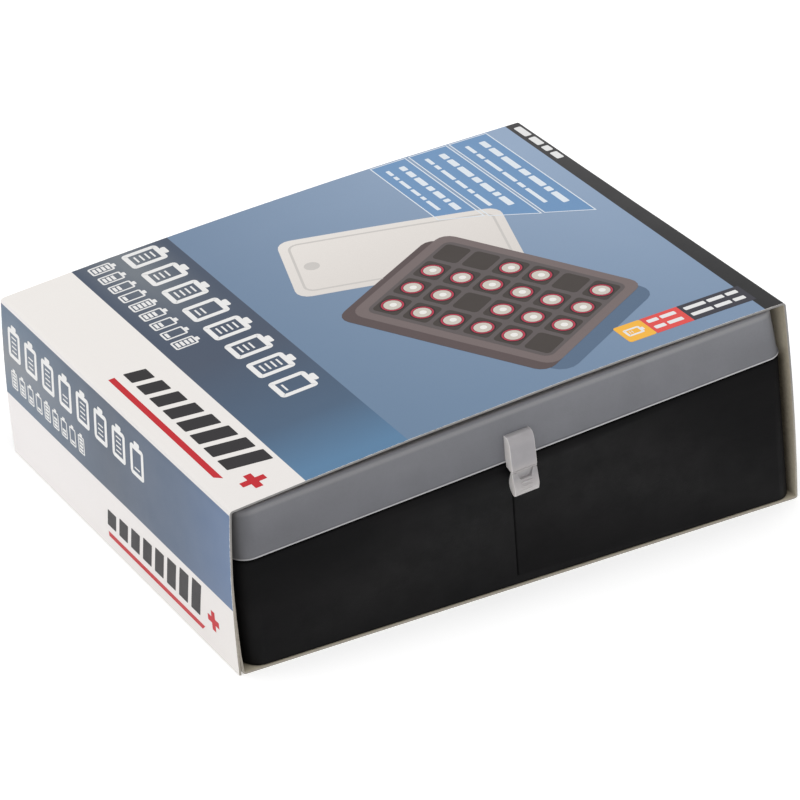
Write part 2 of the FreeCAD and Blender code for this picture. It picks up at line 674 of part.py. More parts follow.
def grid_tray(name, left, right, columns, pocket_x, rows, pocket_y, depth, cutter=pocket, last=False):
    """Tray with a grid of equal pockets, floored, each cut by the cutter."""
    foot = -depth - TRAY_FLOOR
    tray = tray_blank(left, right, foot, False, last)
    cutters = []
    for column in range(columns):
        x0 = left + COLUMN_WEB / 2 + column * (pocket_x + COLUMN_WEB)
        for y0 in spread(rows, pocket_y, INNER_DEPTH):
            cutters.append(cutter(x0, x0 + pocket_x, y0, y0 + pocket_y, -depth))
    save(name, set_down(tray.cut(cutters)))


def make_utility_tray():
    """Tray at the shallow end: a long open bin between two double pockets, over the base's floor."""
    foot = -SHALLOW_HEIGHT + BASE_FLOOR + TRAY_CLEARANCE + TRAY_FLOOR / 2
    tray = tray_blank(TRAY_LEFT, AAA_LEFT, foot, True, False)
    x0 = TRAY_LEFT + COLUMN_WEB
    x1 = x0 + SPARE_POCKET_X
    end = INNER_DEPTH / 2 - COLUMN_WEB
    bin_end = end - AAA_POCKET - COLUMN_WEB
    cutters = [
        flared_pocket(x0, x1, -end, -end + AAA_POCKET, foot - CUT_PAST),
        flared_pocket(x0, x1, -bin_end, bin_end, foot - CUT_PAST),
        flared_pocket(x0, x1, end - AAA_POCKET, end, foot - CUT_PAST),
    ]
    save("utility_tray", set_down(tray.cut(cutters)))


def make_trays():
    """The four trays, from the shallow end to the deep end."""
    make_utility_tray()
    grid_tray("aaa_tray", AAA_LEFT, BLOCK_LEFT, AAA_COLUMNS, AAA_POCKET, AAA_ROWS, AAA_POCKET,
              AAA_LENGTH - CELLS_ABOVE_RIM)
    grid_tray("block_tray", BLOCK_LEFT, AA_LEFT, 1, BLOCK_POCKET_X, BLOCK_ROWS, BLOCK_POCKET_Y,
              BLOCK_LENGTH - CELLS_ABOVE_RIM, cutter=flared_pocket)
    grid_tray("aa_tray", AA_LEFT, TRAY_RIGHT, AA_COLUMNS, AA_POCKET, AA_ROWS, AA_POCKET,
              AA_LENGTH - CELLS_ABOVE_RIM, last=True)


os.makedirs("parts", exist_ok=True)
make_sleeve()
make_base()
make_lid()
make_latch_block()
make_latch_flap()
make_trays()
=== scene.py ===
"""Battery case in a printed card sleeve: its looks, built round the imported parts.

Sizes are in millimetres unless a name says otherwise, and become metres where a mesh or a node is made.  The
sleeve and the latch are modelled here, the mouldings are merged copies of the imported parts, and the print on
the card is a set of thin inks laid on the folded sleeve.
"""
import json
import logging
import math
from dataclasses import dataclass
from enum import Enum
from typing import Callable, Dict, List, Optional, Sequence, Tuple, Union

import bmesh
import bpy
from mathutils import Matrix, Vector


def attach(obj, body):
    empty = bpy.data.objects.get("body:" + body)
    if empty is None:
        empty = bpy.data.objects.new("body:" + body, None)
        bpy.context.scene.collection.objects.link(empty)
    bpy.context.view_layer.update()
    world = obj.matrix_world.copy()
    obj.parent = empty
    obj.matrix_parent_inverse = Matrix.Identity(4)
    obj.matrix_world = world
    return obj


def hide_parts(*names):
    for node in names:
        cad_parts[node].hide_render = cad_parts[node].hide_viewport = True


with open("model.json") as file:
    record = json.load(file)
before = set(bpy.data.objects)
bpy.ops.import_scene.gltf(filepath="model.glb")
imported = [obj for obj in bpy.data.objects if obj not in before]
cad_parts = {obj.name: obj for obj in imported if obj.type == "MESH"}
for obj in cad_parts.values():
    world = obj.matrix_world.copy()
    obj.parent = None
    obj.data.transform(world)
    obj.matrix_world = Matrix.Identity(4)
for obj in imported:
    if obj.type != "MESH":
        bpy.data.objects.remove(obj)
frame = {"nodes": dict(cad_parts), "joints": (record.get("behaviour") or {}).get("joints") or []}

LOG = logging.getLogger("battery_case")
MM = 0.001
HINGE = next(joint for joint in frame["joints"] if joint["name"] == "latch_hinge")
TILT = math.atan2(-HINGE["axis"][2], -HINGE["axis"][0])

Socket = bpy.types.NodeSocket
Material = bpy.types.Material
Thing = bpy.types.Object
Point = Tuple[float, float]
Spot = Tuple[float, float, float]


# Choices

class Element(Enum):
    """What a pick in edit mode selects."""

    VERTEX = "VERT"
    EDGE = "EDGE"
    FACE = "FACE"


class Body(Enum):
    """The moving bodies that pieces ride on."""

    SLEEVE = "sleeve"
    DRAWER = "drawer"
    FLAP = "latch_flap"


class Slot(Enum):
    """The record's material slots."""

    PRINTED_CARD = "printed_card"
    BLACK_PLASTIC = "black_plastic"
    FROSTED_PLASTIC = "frosted_plastic"
    CLEAR_PLASTIC = "clear_plastic"


# Colour and nodes

@dataclass(frozen=True)
class Shade:
    """A colour as it is seen, with channels from 0 to 255."""

    red: float
    green: float
    blue: float

    def linear(self) -> Tuple[float, ...]:
        """The colour as linear light, with an alpha of 1."""
        parts = [channel / 255 for channel in (self.red, self.green, self.blue)]
        return (*(part / 12.92 if part <= 0.04045 else ((part + 0.055) / 1.055) ** 2.4 for part in parts), 1.0)


Value = Union[float, Sequence[float], Shade, Socket]
Stops = Sequence[Tuple[float, Shade]]
PAPER = Shade(238, 235, 230)


class NodeBench:
    """Lays out the nodes of one material round a Principled shader."""

    def __init__(self, name: str) -> None:
        """Start a material.

        Args:
            name: the material's name.
        """
        self.material = bpy.data.materials.new(name)
        self.material.use_nodes = True
        self.tree = self.material.node_tree
        self.tree.nodes.clear()
        self.shader = self.node("BsdfPrincipled")
        self.node("OutputMaterial", {"Surface": self.shader.outputs["BSDF"]})
        self.place = self.node("TexCoord").outputs["Object"]
        self.x, self.y, self.z = self.node("SeparateXYZ", {0: self.place}).outputs

    def feed(self, target: Socket, value: Value) -> None:
        """Link a socket to target, or set target to a constant.

        Args:
            target: the input that receives it.
            value: a socket or a constant.
        """
        if isinstance(value, bpy.types.NodeSocket):
            self.tree.links.new(value, target)
        else:
            target.default_value = value.linear() if isinstance(value, Shade) else value

    def node(self, kind: str, inputs: Optional[Dict[Union[int, str], Value]] = None,
             **settings: object) -> bpy.types.Node:
        """Add a node.

        Args:
            kind: its type, without the words that all the types start with.
            inputs: what each of its inputs gets, by name or index.
            settings: its properties.

        Returns:
            The node.
        """
        node = self.tree.nodes.new("ShaderNode" + kind)
        for name, value in settings.items():
            setattr(node, name, value)
        for key, value in (inputs or {}).items():
            self.feed(node.inputs[key], value)
        return node

    def set(self, **values: Value) -> None:
        """Feed the shader's own sockets, named with underscores for spaces."""
        for name, value in values.items():
            self.feed(self.shader.inputs[name.replace("_", " ")], value)

    def maths(self, operation: str, first: Value, second: Value = 0.0) -> Socket:
        """Result of one Math node, whose operation has Blender's name."""
        return self.node("Math", {0: first, 1: second}, operation=operation).outputs[0]

    def span(self, value: Value, start: float, end: float, low: float = 0.0, high: float = 1.0) -> Socket:
        """Map start..end to low..high, clamped."""
        return self.node("MapRange", {"Value": value, "From Min": start, "From Max": end, "To Min": low,
                                      "To Max": high}, clamp=True).outputs["Result"]

    def over(self, value: Value, band: Point, low: float = 0.0, high: float = 1.0) -> Socket:
        """Map a band of lengths in millimetres to low..high, clamped."""
        return self.span(value, band[0] * MM, band[1] * MM, low, high)

    def window(self, value: Value, start: float, end: float, soft: float) -> Socket:
        """1 between start and end, 0 outside, with edges of a soft width."""
        rise = self.span(value, start - soft / 2, start + soft / 2)
        return self.maths("MULTIPLY", rise, self.span(value, end - soft / 2, end + soft / 2, 1.0, 0.0))

    def ramp(self, value: Value, stops: Stops) -> Socket:
        """Colour ramp.

        Args:
            value: place on the ramp, 0 to 1.
            stops: (place, shade) pairs in order.

        Returns:
            The colour.
        """
        node = self.node("ValToRGB", {"Fac": value})
        elements = node.color_ramp.elements
        while len(elements) < len(stops):
            elements.new(0.5)
        for element, (place, shade) in zip(elements, stops):
            element.position = place
            element.color = shade.linear()
        return node.outputs["Color"]

    def mix(self, share: Value, first: Value, second: Value) -> Socket:
        """Mix two colours, with this share of the second."""
        return self.node("Mix", {0: share, 6: first, 7: second}, data_type="RGBA").outputs[2]

    def layered(self, colour: Value, *layers: Tuple[Value, Value]) -> Socket:
        """Mix colours over a colour, one by one.

        Args:
            colour: the lowest colour.
            layers: (share, colour) of each one over it.

        Returns:
            The mixed colour.
        """
        for share, shade in layers:
            colour = self.mix(share, colour, shade)
        return colour

    def noise(self, feature: float, detail: float = 3.0, roughness: float = 0.55,
              stretch: Spot = (1.0, 1.0, 1.0)) -> Socket:
        """Fractal noise, 0 to 1, by the size of its largest features; stretch acts on its frequencies."""
        place = self.node("Mapping", {"Vector": self.place, "Scale": stretch}).outputs[0]
        return self.node("TexNoise", {"Vector": place, "Scale": 1 / (feature * MM), "Detail": detail,
                                      "Roughness": roughness}).outputs[0]

    def bump(self, height: Value, depth: float, before: Optional[Socket] = None) -> Socket:
        """Bump the shader's normal.

        Args:
            height: height of the relief, 0 to 1.
            depth: real depth of the relief.
            before: normal that this one is laid over.

        Returns:
            The bumped normal.
        """
        node = self.node("Bump", {"Distance": depth * MM, "Height": height})
        if before is not None:
            self.feed(node.inputs["Normal"], before)
        self.set(Normal=node.outputs[0])
        return node.outputs[0]

    def soft_edges(self, radius: float) -> Socket:
        """Normal that rounds the mesh's edges."""
        return self.node("Bevel", {"Radius": radius * MM}, samples=4).outputs[0]

    def rough(self, patches: Socket, low: float, high: float) -> None:
        """Let the shader's roughness go from low to high with a noise."""
        self.set(Roughness=self.span(patches, 0.3, 0.7, low, high))

    def turned(self, pivot: Vector) -> Tuple[Socket, Socket]:
        """Axes of a piece that leans with the lid.

        Args:
            pivot: the axes' origin, in metres.

        Returns:
            The places along the lid and square to it, in metres.
        """
        x = self.maths("SUBTRACT", self.x, pivot.x)
        z = self.maths("SUBTRACT", self.z, pivot.z)
        cos, sin = math.cos(TILT), math.sin(TILT)
        along = self.maths("ADD", self.maths("MULTIPLY", x, cos), self.maths("MULTIPLY", z, sin))
        up = self.maths("SUBTRACT", self.maths("MULTIPLY", z, cos), self.maths("MULTIPLY", x, sin))
        return along, up

    def coloured(self, colour: Socket, factor: Value, gain: float) -> Material:
        """Vary a colour's lightness by a factor round 0.5, and finish.

        Args:
            colour: the colour.
            factor: 0 to 1, darker to lighter.
            gain: how much lighter or darker, at the ends.

        Returns:
            The finished material.
        """
        light = self.span(factor, 0.25, 0.75, 1 - gain, 1 + gain)
        self.set(Base_Color=self.node("VectorMath", {0: colour, "Scale": light}, operation="SCALE").outputs[0])
        return self.material


# Modelling

def clear_selection() -> None:
    """Leave edit mode and select nothing."""
    if bpy.context.object is not None and bpy.context.object.mode != "OBJECT":
        bpy.ops.object.mode_set(mode="OBJECT")
    bpy.ops.object.select_all(action="DESELECT")


def select_only(things: Sequence[Thing]) -> None:
    """Select some objects and nothing else.

    Args:
        things: the objects; the first becomes the active one.
    """
    clear_selection()
    for thing in things:
        thing.select_set(True)
    bpy.context.view_layer.objects.active = things[0]


def settle(thing: Thing, name: str) -> Thing:
    """Bring an object's place into its mesh, so that it stands at the origin, unturned and unscaled.

    Args:
        thing: the object.
        name: its name from now on.

    Returns:
        The same object.
    """
    select_only([thing])
    bpy.ops.object.transform_apply(location=True, rotation=True, scale=True)
    thing.name = thing.data.name = name
    return thing


def finish_with(thing: Thing, kind: str, **settings: object) -> Thing:
    """Add a modifier and apply it.

    Args:
        thing: the object.
        kind: Blender's name of the modifier's type.
        settings: the modifier's values.

    Returns:
        The same object.
    """
    modifier = thing.modifiers.new(kind.lower(), kind)
    for name, value in settings.items():
        setattr(modifier, name, value)
    select_only([thing])
    bpy.ops.object.modifier_apply(modifier=modifier.name)
    return thing


def dress(thing: Thing, materials: Sequence[Material]) -> None:
    """Give an object materials.

    Args:
        thing: the object.
        materials: what its slots get, in order.
    """
    thing.data.materials.clear()
    for material in materials:
        thing.data.materials.append(material)


def smooth(thing: Thing, angle: float) -> None:
    """Shade an object smooth, apart from edges sharper than an angle in degrees."""
    select_only([thing])
    bpy.ops.object.shade_smooth_by_angle(angle=math.radians(angle))


def enlist(thing: Thing, body: Body, slot: Slot, *nodes: str) -> Thing:
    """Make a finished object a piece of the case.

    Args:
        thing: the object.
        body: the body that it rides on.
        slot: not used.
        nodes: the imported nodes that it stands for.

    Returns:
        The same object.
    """
    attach(thing, body.value)
    if nodes:
        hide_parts(*nodes)
    LOG.info("%s made: %d faces", thing.name, len(thing.data.polygons))
    return thing


class Bench:
    """Edit mode on one object, whose parts are picked by their place."""

    def __init__(self, thing: Thing) -> None:
        """Name the object that is worked on."""
        self.thing = thing

    def __enter__(self) -> "Bench":
        """Go into edit mode with nothing selected."""
        select_only([self.thing])
        bpy.ops.object.mode_set(mode="EDIT")
        bpy.ops.mesh.select_all(action="DESELECT")
        return self

    def __exit__(self, *_: object) -> None:
        """Leave edit mode."""
        bpy.ops.object.mode_set(mode="OBJECT")

    def pick(self, kind: Element, test: Callable[[object], bool]) -> int:
        """Select the elements that pass a test, and no others.

        Args:
            kind: vertices, edges or faces.
            test: takes an element and says whether it is wanted.

        Returns:
            How many were selected.
        """
        bpy.ops.mesh.select_mode(type=kind.value)
        bpy.ops.mesh.select_all(action="DESELECT")
        mesh = bmesh.from_edit_mesh(self.thing.data)
        groups = {Element.VERTEX: mesh.verts, Element.EDGE: mesh.edges, Element.FACE: mesh.faces}
        wanted = [item for item in groups[kind] if test(item)]
        for item in wanted:
            item.select_set(True)
        bmesh.update_edit_mesh(self.thing.data)
        return len(wanted)

    def everything(self) -> None:
        """Select the whole mesh."""
        bpy.ops.mesh.select_all(action="SELECT")

    def weld(self, distance: float) -> None:
        """Merge all the vertices that lie within a distance of each other."""
        self.everything()
        bpy.ops.mesh.remove_doubles(threshold=distance * MM)


# Finishes

@dataclass(frozen=True)
class RoofLayout:
    """Where the print's bands lie on the roof panel: shares of its width from the shallow side."""

    left: float = -87.4
    right: float = 78.0
    back: float = 65.19
    front: float = -65.19
    white_end: float = 0.129
    slate_end: float = 0.306
    strip_start: float = 0.9695

    def x(self, share: float) -> float:
        """X of a share of the width."""
        return self.left + share * (self.right - self.left)

    def a(self, share: float) -> float:
        """Distance from the back edge of a share of the depth."""
        return share * (self.back - self.front)


ROOF = RoofLayout()
SIDE_TOP = 48.25
WEAR_ON_EDGE = 0.75
WORN_THROUGH = (0.98, 1.1)


@dataclass(frozen=True)
class CardCoat:
    """Satin coat that all the printed faces share."""

    roughness: Point = (0.36, 0.48)
    specular: float = 0.14
    patch_feature: float = 9.0
    tooth_feature: float = 0.35
    tooth_depth: float = 0.004
    wave_feature: float = 26.0
    wave_depth: float = 0.05

    def finish(self, bench: NodeBench, colour: Socket, grain: Socket, gain: float) -> Material:
        """Lay the coat's gloss and relief over a colour.

        Args:
            bench: the material's bench.
            colour: the print's colour.
            grain: noise that makes the colour uneven.
            gain: how uneven it makes it.

        Returns:
            The finished material.
        """
        bench.set(Specular_IOR_Level=self.specular)
        bench.rough(bench.noise(self.patch_feature, 4.0), *self.roughness)
        wave = bench.bump(bench.noise(self.wave_feature, 1.0), self.wave_depth)
        bench.bump(bench.noise(self.tooth_feature, 2.0), self.tooth_depth, wave)
        return bench.coloured(colour, grain, gain)


COAT = CardCoat()


def scuffed(bench: NodeBench, colour: Value, reach: float, *folds: Tuple[Socket, float]) -> Socket:
    """Wear a print through to the paper along the sleeve's open ends and some folds.

    Args:
        bench: the material's bench.
        colour: the print's colour.
        reach: how far from a line the wear goes.
        folds: (coordinate socket, its value in millimetres on the fold) pairs.

    Returns:
        The worn colour.
    """
    specks = bench.noise(0.9, 4.0, 0.7)
    for coordinate, place in ((bench.y, ROOF.front), (bench.y, ROOF.back), *folds):
        offset = bench.maths("ABSOLUTE", bench.maths("SUBTRACT", coordinate, place * MM))
        near = bench.over(offset, (0.0, reach), WEAR_ON_EDGE, 0.0)
        colour = bench.mix(bench.span(bench.maths("ADD", near, specks), *WORN_THROUGH), colour, PAPER)
    return colour


@dataclass(frozen=True)
class RoofPrint:
    """Print on the roof panel: a white band, a slate band with a pale glow, a blue field and a dark strip."""

    edge: float = 0.12
    strip_slant: float = 0.0085
    wear: float = 0.3
    grain: float = 0.28
    uneven: float = 0.02
    white: Stops = ((0.0, Shade(240, 236, 232)), (1.0, Shade(235, 231, 228)))
    strip: Stops = ((0.0, Shade(70, 69, 70)), (1.0, Shade(46, 46, 47)))
    slate: Stops = ((0.5, Shade(79, 89, 106)), (0.8, Shade(81, 102, 126)), (0.97, Shade(93, 129, 162)))
    glow: Shade = Shade(124, 130, 136)
    glow_across: Spot = (0.175, 0.25, 0.09)
    glow_depth: Point = (0.1, 0.42)
    field_near: Stops = ((0.1, Shade(119, 140, 166)), (0.97, Shade(110, 133, 159)))
    field_far: Stops = ((0.1, Shade(152, 172, 198)), (0.97, Shade(127, 148, 174)))
    field: Point = (0.32, 0.92)

    def build(self) -> Material:
        """Make the material."""
        bench = NodeBench("roof_print")
        u = bench.over(bench.x, (ROOF.left, ROOF.right))
        v = bench.over(bench.y, (ROOF.back, ROOF.front))
        soft = self.edge / (ROOF.right - ROOF.left)

        def step(across: Socket, place: float) -> Socket:
            """0 before a place across the roof, 1 after it."""
            return bench.span(across, place - soft / 2, place + soft / 2)

        light = bench.maths("MULTIPLY", bench.window(u, *self.glow_across),
                            bench.span(v, *self.glow_depth, 1.0, 0.0))
        slanted = bench.maths("ADD", u, bench.maths("MULTIPLY", v, self.strip_slant))
        colour = bench.layered(
            bench.ramp(v, self.white),
            (step(u, ROOF.white_end), bench.mix(light, bench.ramp(v, self.slate), self.glow)),
            (step(u, ROOF.slate_end), bench.mix(bench.span(u, *self.field), bench.ramp(v, self.field_near),
                                                bench.ramp(v, self.field_far))),
            (step(slanted, ROOF.strip_start), bench.ramp(v, self.strip)))
        colour = scuffed(bench, colour, self.wear, (bench.x, ROOF.right))
        return COAT.finish(bench, colour, bench.noise(self.grain, 2.0), self.uneven)


@dataclass(frozen=True)
class SidePrint:
    """Print on the shallow side: a blue band with a pale glow under the fold, white below it."""

    band_ends: Point = (0.024, 0.595)
    edge: float = 0.12
    wear: float = 0.45
    grain: float = 0.28
    uneven: float = 0.02
    band: Stops = ((0.0, Shade(111, 127, 145)), (0.5, Shade(94, 103, 117)), (0.8, Shade(94, 109, 131)),
                   (1.0, Shade(105, 125, 156)))
    glow: Shade = Shade(139, 142, 147)
    glow_down: Spot = (0.22, 0.46, 0.24)
    glow_depth: Point = (0.0, 0.4)
    white: Stops = ((0.0, Shade(237, 233, 232)), (1.0, Shade(231, 227, 224)))

    def build(self) -> Material:
        """Make the material."""
        bench = NodeBench("side_print")
        down = bench.over(bench.z, (SIDE_TOP, 0.0))
        depth = bench.over(bench.y, (ROOF.back, ROOF.front))
        light = bench.maths("MULTIPLY", bench.window(down, *self.glow_down),
                            bench.span(depth, *self.glow_depth, 1.0, 0.0))
        band = bench.mix(light, bench.ramp(depth, self.band), self.glow)
        inside = bench.window(down, *self.band_ends, self.edge / SIDE_TOP)
        colour = bench.mix(inside, bench.ramp(depth, self.white), band)
        colour = scuffed(bench, colour, self.wear, (bench.z, SIDE_TOP))
        return COAT.finish(bench, colour, bench.noise(self.grain, 2.0), self.uneven)


@dataclass(frozen=True)
class PlainCoat:
    """Printed card in one plain shade, paler where it is worn at the sleeve's open ends."""

    name: str
    shade: Shade
    wear: float = 0.5
    grain: float = 0.5
    uneven: float = 0.03

    def build(self) -> Material:
        """Make the material."""
        bench = NodeBench(self.name)
        colour = scuffed(bench, self.shade, self.wear)
        return COAT.finish(bench, colour, bench.noise(self.grain, 3.0), self.uneven)


@dataclass(frozen=True)
class BareCard:
    """Uncoated inside of the card: grey-beige fibre with darker flecks, darkened by painted shade deep inside
    and low down, and paler with painted light at the open ends and high up beside the lid.
    """

    # fibre shade darkened with painted shade for the inside of the sleeve
    shade: Shade = Shade(116, 107, 91)
    fleck: Shade = Shade(98, 90, 76)
    # painted light: the paler shade towards the open ends and high up beside the lid
    painted_light: Shade = Shade(190, 181, 162)
    ends: Point = (60.7, 65.2)
    height: Point = (42.0, 48.0)
    height_share: float = 0.9
    fibre: float = 0.9
    relief: float = 0.012
    uneven: float = 0.1

    def build(self) -> Material:
        """Make the material."""
        bench = NodeBench("bare_card")
        bench.set(Roughness=0.9, Specular_IOR_Level=0.15)
        fibres = bench.noise(self.fibre, 5.0, 0.7)
        # painted light: mask that grows towards the open ends and high up beside the lid
        painted_light = bench.maths("MAXIMUM", bench.over(bench.maths("ABSOLUTE", bench.y), self.ends),
                            bench.over(bench.z, self.height, 0.0, self.height_share))
        colour = bench.mix(painted_light, bench.ramp(fibres, [(0.3, self.fleck), (0.6, self.shade)]), self.painted_light)
        bench.bump(fibres, self.relief)
        return bench.coloured(colour, fibres, self.uneven)


@dataclass(frozen=True)
class CutEdge:
    """Die-cut edge of the card: pale, with fine layers along it, and greyer towards the top with painted shade.
    """

    core: Shade = Shade(146, 140, 129)
    pale: Shade = Shade(170, 163, 152)
    # painted shade: greyer and darker towards the top of the sleeve
    top_shade: Shade = Shade(128, 129, 132)
    top_shade_height: Point = (20.0, 46.0)
    top_shade_share: Point = (0.1, 0.75)
    layer: float = 0.7
    relief: float = 0.015
    patch: float = 5.0
    uneven: float = 0.04

    def build(self) -> Material:
        """Make the material."""
        bench = NodeBench("cut_edge")
        bench.set(Roughness=0.85, Specular_IOR_Level=0.2)
        layers = bench.noise(self.layer, 5.0, 0.75, (1.0, 0.2, 1.0))
        # painted shade mixed in towards the top
        colour = bench.mix(bench.over(bench.z, self.top_shade_height, *self.top_shade_share),
                           bench.ramp(layers, [(0.3, self.core), (0.6, self.pale)]), self.top_shade)
        bench.bump(layers, self.relief)
        return bench.coloured(colour, bench.noise(self.patch, 2.0), self.uneven)


@dataclass(frozen=True)
class Ink:
    """One flat ink on the coat, with the unevenness of print."""

    name: str
    shade: Shade
    far: Optional[Shade] = None
    depth: Point = (-65.0, 65.0)
    grain: float = 0.3
    uneven: float = 0.03

    def build(self) -> Material:
        """Make the material."""
        bench = NodeBench(self.name)
        colour = bench.ramp(bench.over(bench.y, self.depth), [(0.0, self.shade), (1.0, self.far or self.shade)])
        return COAT.finish(bench, colour, bench.noise(self.grain, 2.0), self.uneven)


@dataclass(frozen=True)
class BlackPlastic:
    """Black moulding: fine spark-eroded grain, faint flow marks and softened edges."""

    dark: Shade = Shade(13, 13, 14)
    light: Shade = Shade(20, 19, 20)
    roughness: Point = (0.5, 0.66)
    edge: float = 0.25
    flow: float = 30.0
    patch: float = 7.0
    grain: float = 0.35
    grain_depth: float = 0.03
    uneven: float = 0.12

    def build(self) -> Material:
        """Make the material."""
        bench = NodeBench("black_plastic")
        bench.set(Specular_IOR_Level=0.09)
        grain = bench.noise(self.grain, 3.0, 0.6)
        flow = bench.noise(self.flow, 3.0, 0.5, (1.0, 1.0, 2.5))
        colour = bench.ramp(flow, [(0.3, self.dark), (0.7, self.light)])
        bench.rough(bench.noise(self.patch, 5.0, 0.65), *self.roughness)
        bench.bump(grain, self.grain_depth, bench.soft_edges(self.edge))
        return bench.coloured(colour, grain, self.uneven)


@dataclass(frozen=True)
class FrostedPlastic:
    """Frosted lid: grey walls over the dark trays, with a painted highlight on the roof's front edge and on the
    rim, painted shade at the left corner and towards the left, and painted light towards the right.
    """

    pivot: Vector
    crown: float = 0.5
    crown_middle: float = -3.1
    crown_half: float = 86.8
    wall_low: Shade = Shade(115, 116, 121)
    wall_high: Shade = Shade(124, 125, 131)
    # painted shade, darker towards the left of the lid
    shaded: Shade = Shade(88, 88, 92)
    roof: Shade = Shade(129, 128, 135)
    # painted shade at the lid's rounded left corner
    corner: Shade = Shade(84, 84, 88)
    # painted highlight, used along the roof's front edge and towards the right
    painted_highlight: Shade = Shade(140, 140, 143)
    # painted highlight on the lid's bottom rim
    rim_highlight: Shade = Shade(196, 195, 197)
    # where the painted highlight runs along the roof's rounded front edge
    band: Spot = (12.75, 14.0, 0.7)
    roof_start: Point = (14.0, 14.5)
    rim_highlight_band: Spot = (-0.3, 0.4, 0.15)
    corner_shade_x: Point = (-86.0, -80.0)
    corner_shade_share: float = 0.7
    shaded_x: Point = (-80.0, 60.0)
    shaded_share: float = 0.26
    # painted light towards the right of the lid, in the painted highlight's shade
    lit_side_x: Point = (30.0, 70.0)
    lit_side_share: float = 0.2
    haze: float = 18.0
    roughness: Point = (0.34, 0.46)
    patch: float = 6.0
    edge: float = 0.2
    frost: float = 0.25
    frost_depth: float = 0.02
    warp: float = 14.0
    warp_depth: float = 0.05
    uneven: float = 0.03

    def build(self) -> Material:
        """Make the material."""
        bench = NodeBench("frosted_plastic")
        bench.set(Specular_IOR_Level=0.4, Transmission_Weight=0.12, IOR=1.49)
        _, height = bench.turned(self.pivot)
        along = bench.maths("DIVIDE", bench.maths("ADD", bench.x, -self.crown_middle * MM),
                            self.crown_half * MM)
        swell = bench.maths("MULTIPLY", bench.maths("MULTIPLY", along, along), self.crown * MM)
        under_crown = bench.maths("SUBTRACT", bench.maths("ADD", height, swell), self.crown * MM)
        colour = bench.layered(
            bench.ramp(bench.noise(self.haze, 4.0, 0.6), [(0.3, self.wall_low), (0.7, self.wall_high)]),
            # painted highlight on the rounded front edge of the roof
            (bench.window(under_crown, *(length * MM for length in self.band)), self.painted_highlight),
            (bench.over(under_crown, self.roof_start), self.roof),
            # painted highlight on the rim
            (bench.window(height, *(length * MM for length in self.rim_highlight_band)), self.rim_highlight),
            # painted shade at the left corner
            (bench.over(bench.x, self.corner_shade_x, self.corner_shade_share, 0.0), self.corner),
            # painted shade towards the left, painted light towards the right
            (bench.over(bench.x, self.shaded_x, self.shaded_share, 0.0), self.shaded),
            (bench.over(bench.x, self.lit_side_x, 0.0, self.lit_side_share), self.painted_highlight))
        bench.rough(bench.noise(self.patch, 4.0), *self.roughness)
        frost = bench.bump(bench.noise(self.frost, 3.0, 0.65), self.frost_depth, bench.soft_edges(self.edge))
        bench.bump(bench.noise(self.warp, 2.0), self.warp_depth, frost)
        return bench.coloured(colour, bench.noise(0.5, 3.0), self.uneven)


@dataclass(frozen=True)
class ClearPlastic:
    """Natural translucent moulding of the latch: milky, with painted light and shade in bands up it and painted
    light on its flanks.
    """

    half_width: float
    hinge: Vector
    reach: Point = (-7.0, 10.0)
    # milky tone up the latch with painted light and shade: lighter at the tip, by the hinge and at the top,
    # darker just below the hinge
    tone_and_painted_light: Stops = ((0.03, Shade(192, 188, 187)), (0.2, Shade(178, 174, 174)), (0.33, Shade(158, 155, 157)),
                     (0.42, Shade(178, 174, 174)), (0.56, Shade(163, 160, 163)), (0.8, Shade(163, 160, 163)),
                     (0.93, Shade(172, 169, 171)))
    # painted light on the latch's flanks
    flank_light: Shade = Shade(228, 224, 222)
    flank_edge: Point = (-0.1, -0.02)
    scatter: float = 1.5
    ripple: float = 0.6
    ripple_depth: float = 0.02
    cloud: float = 2.6
    uneven: float = 0.05

    def build(self) -> Material:
        """Make the material."""
        bench = NodeBench("clear_plastic")
        bench.set(Specular_IOR_Level=0.5, Transmission_Weight=0.12, IOR=1.49, Roughness=0.3,
                  Subsurface_Weight=0.6, Subsurface_Scale=self.scatter * MM, Subsurface_Radius=(1.0, 1.0, 1.0))
        along, up = bench.turned(self.hinge)
        outer = bench.over(bench.maths("ABSOLUTE", along), [self.half_width + edge for edge in self.flank_edge])
        # painted light and shade up the latch, and painted light on its flanks
        colour = bench.mix(outer, bench.ramp(bench.over(up, self.reach), self.tone_and_painted_light), self.flank_light)
        bench.bump(bench.noise(self.ripple, 3.0), self.ripple_depth)
        return bench.coloured(colour, bench.noise(self.cloud, 4.0, 0.65), self.uneven)


@dataclass(frozen=True)
class FloorPaper:
    """White sweep that the case stands on."""

    shade: Shade = Shade(252, 252, 252)
    far: Shade = Shade(254, 254, 254)
    glow: float = 0.28

    def build(self) -> Material:
        """Make the material."""
        bench = NodeBench("floor_paper")
        bench.set(Roughness=0.9, Specular_IOR_Level=0.1, Emission_Strength=self.glow,
                  Emission_Color=(1.0, 1.0, 1.0, 1.0))
        colour = bench.ramp(bench.noise(900.0, 2.0), [(0.2, self.shade), (0.8, self.far)])
        return bench.coloured(colour, bench.noise(3.0, 2.0), 0.002)


# Card sleeve

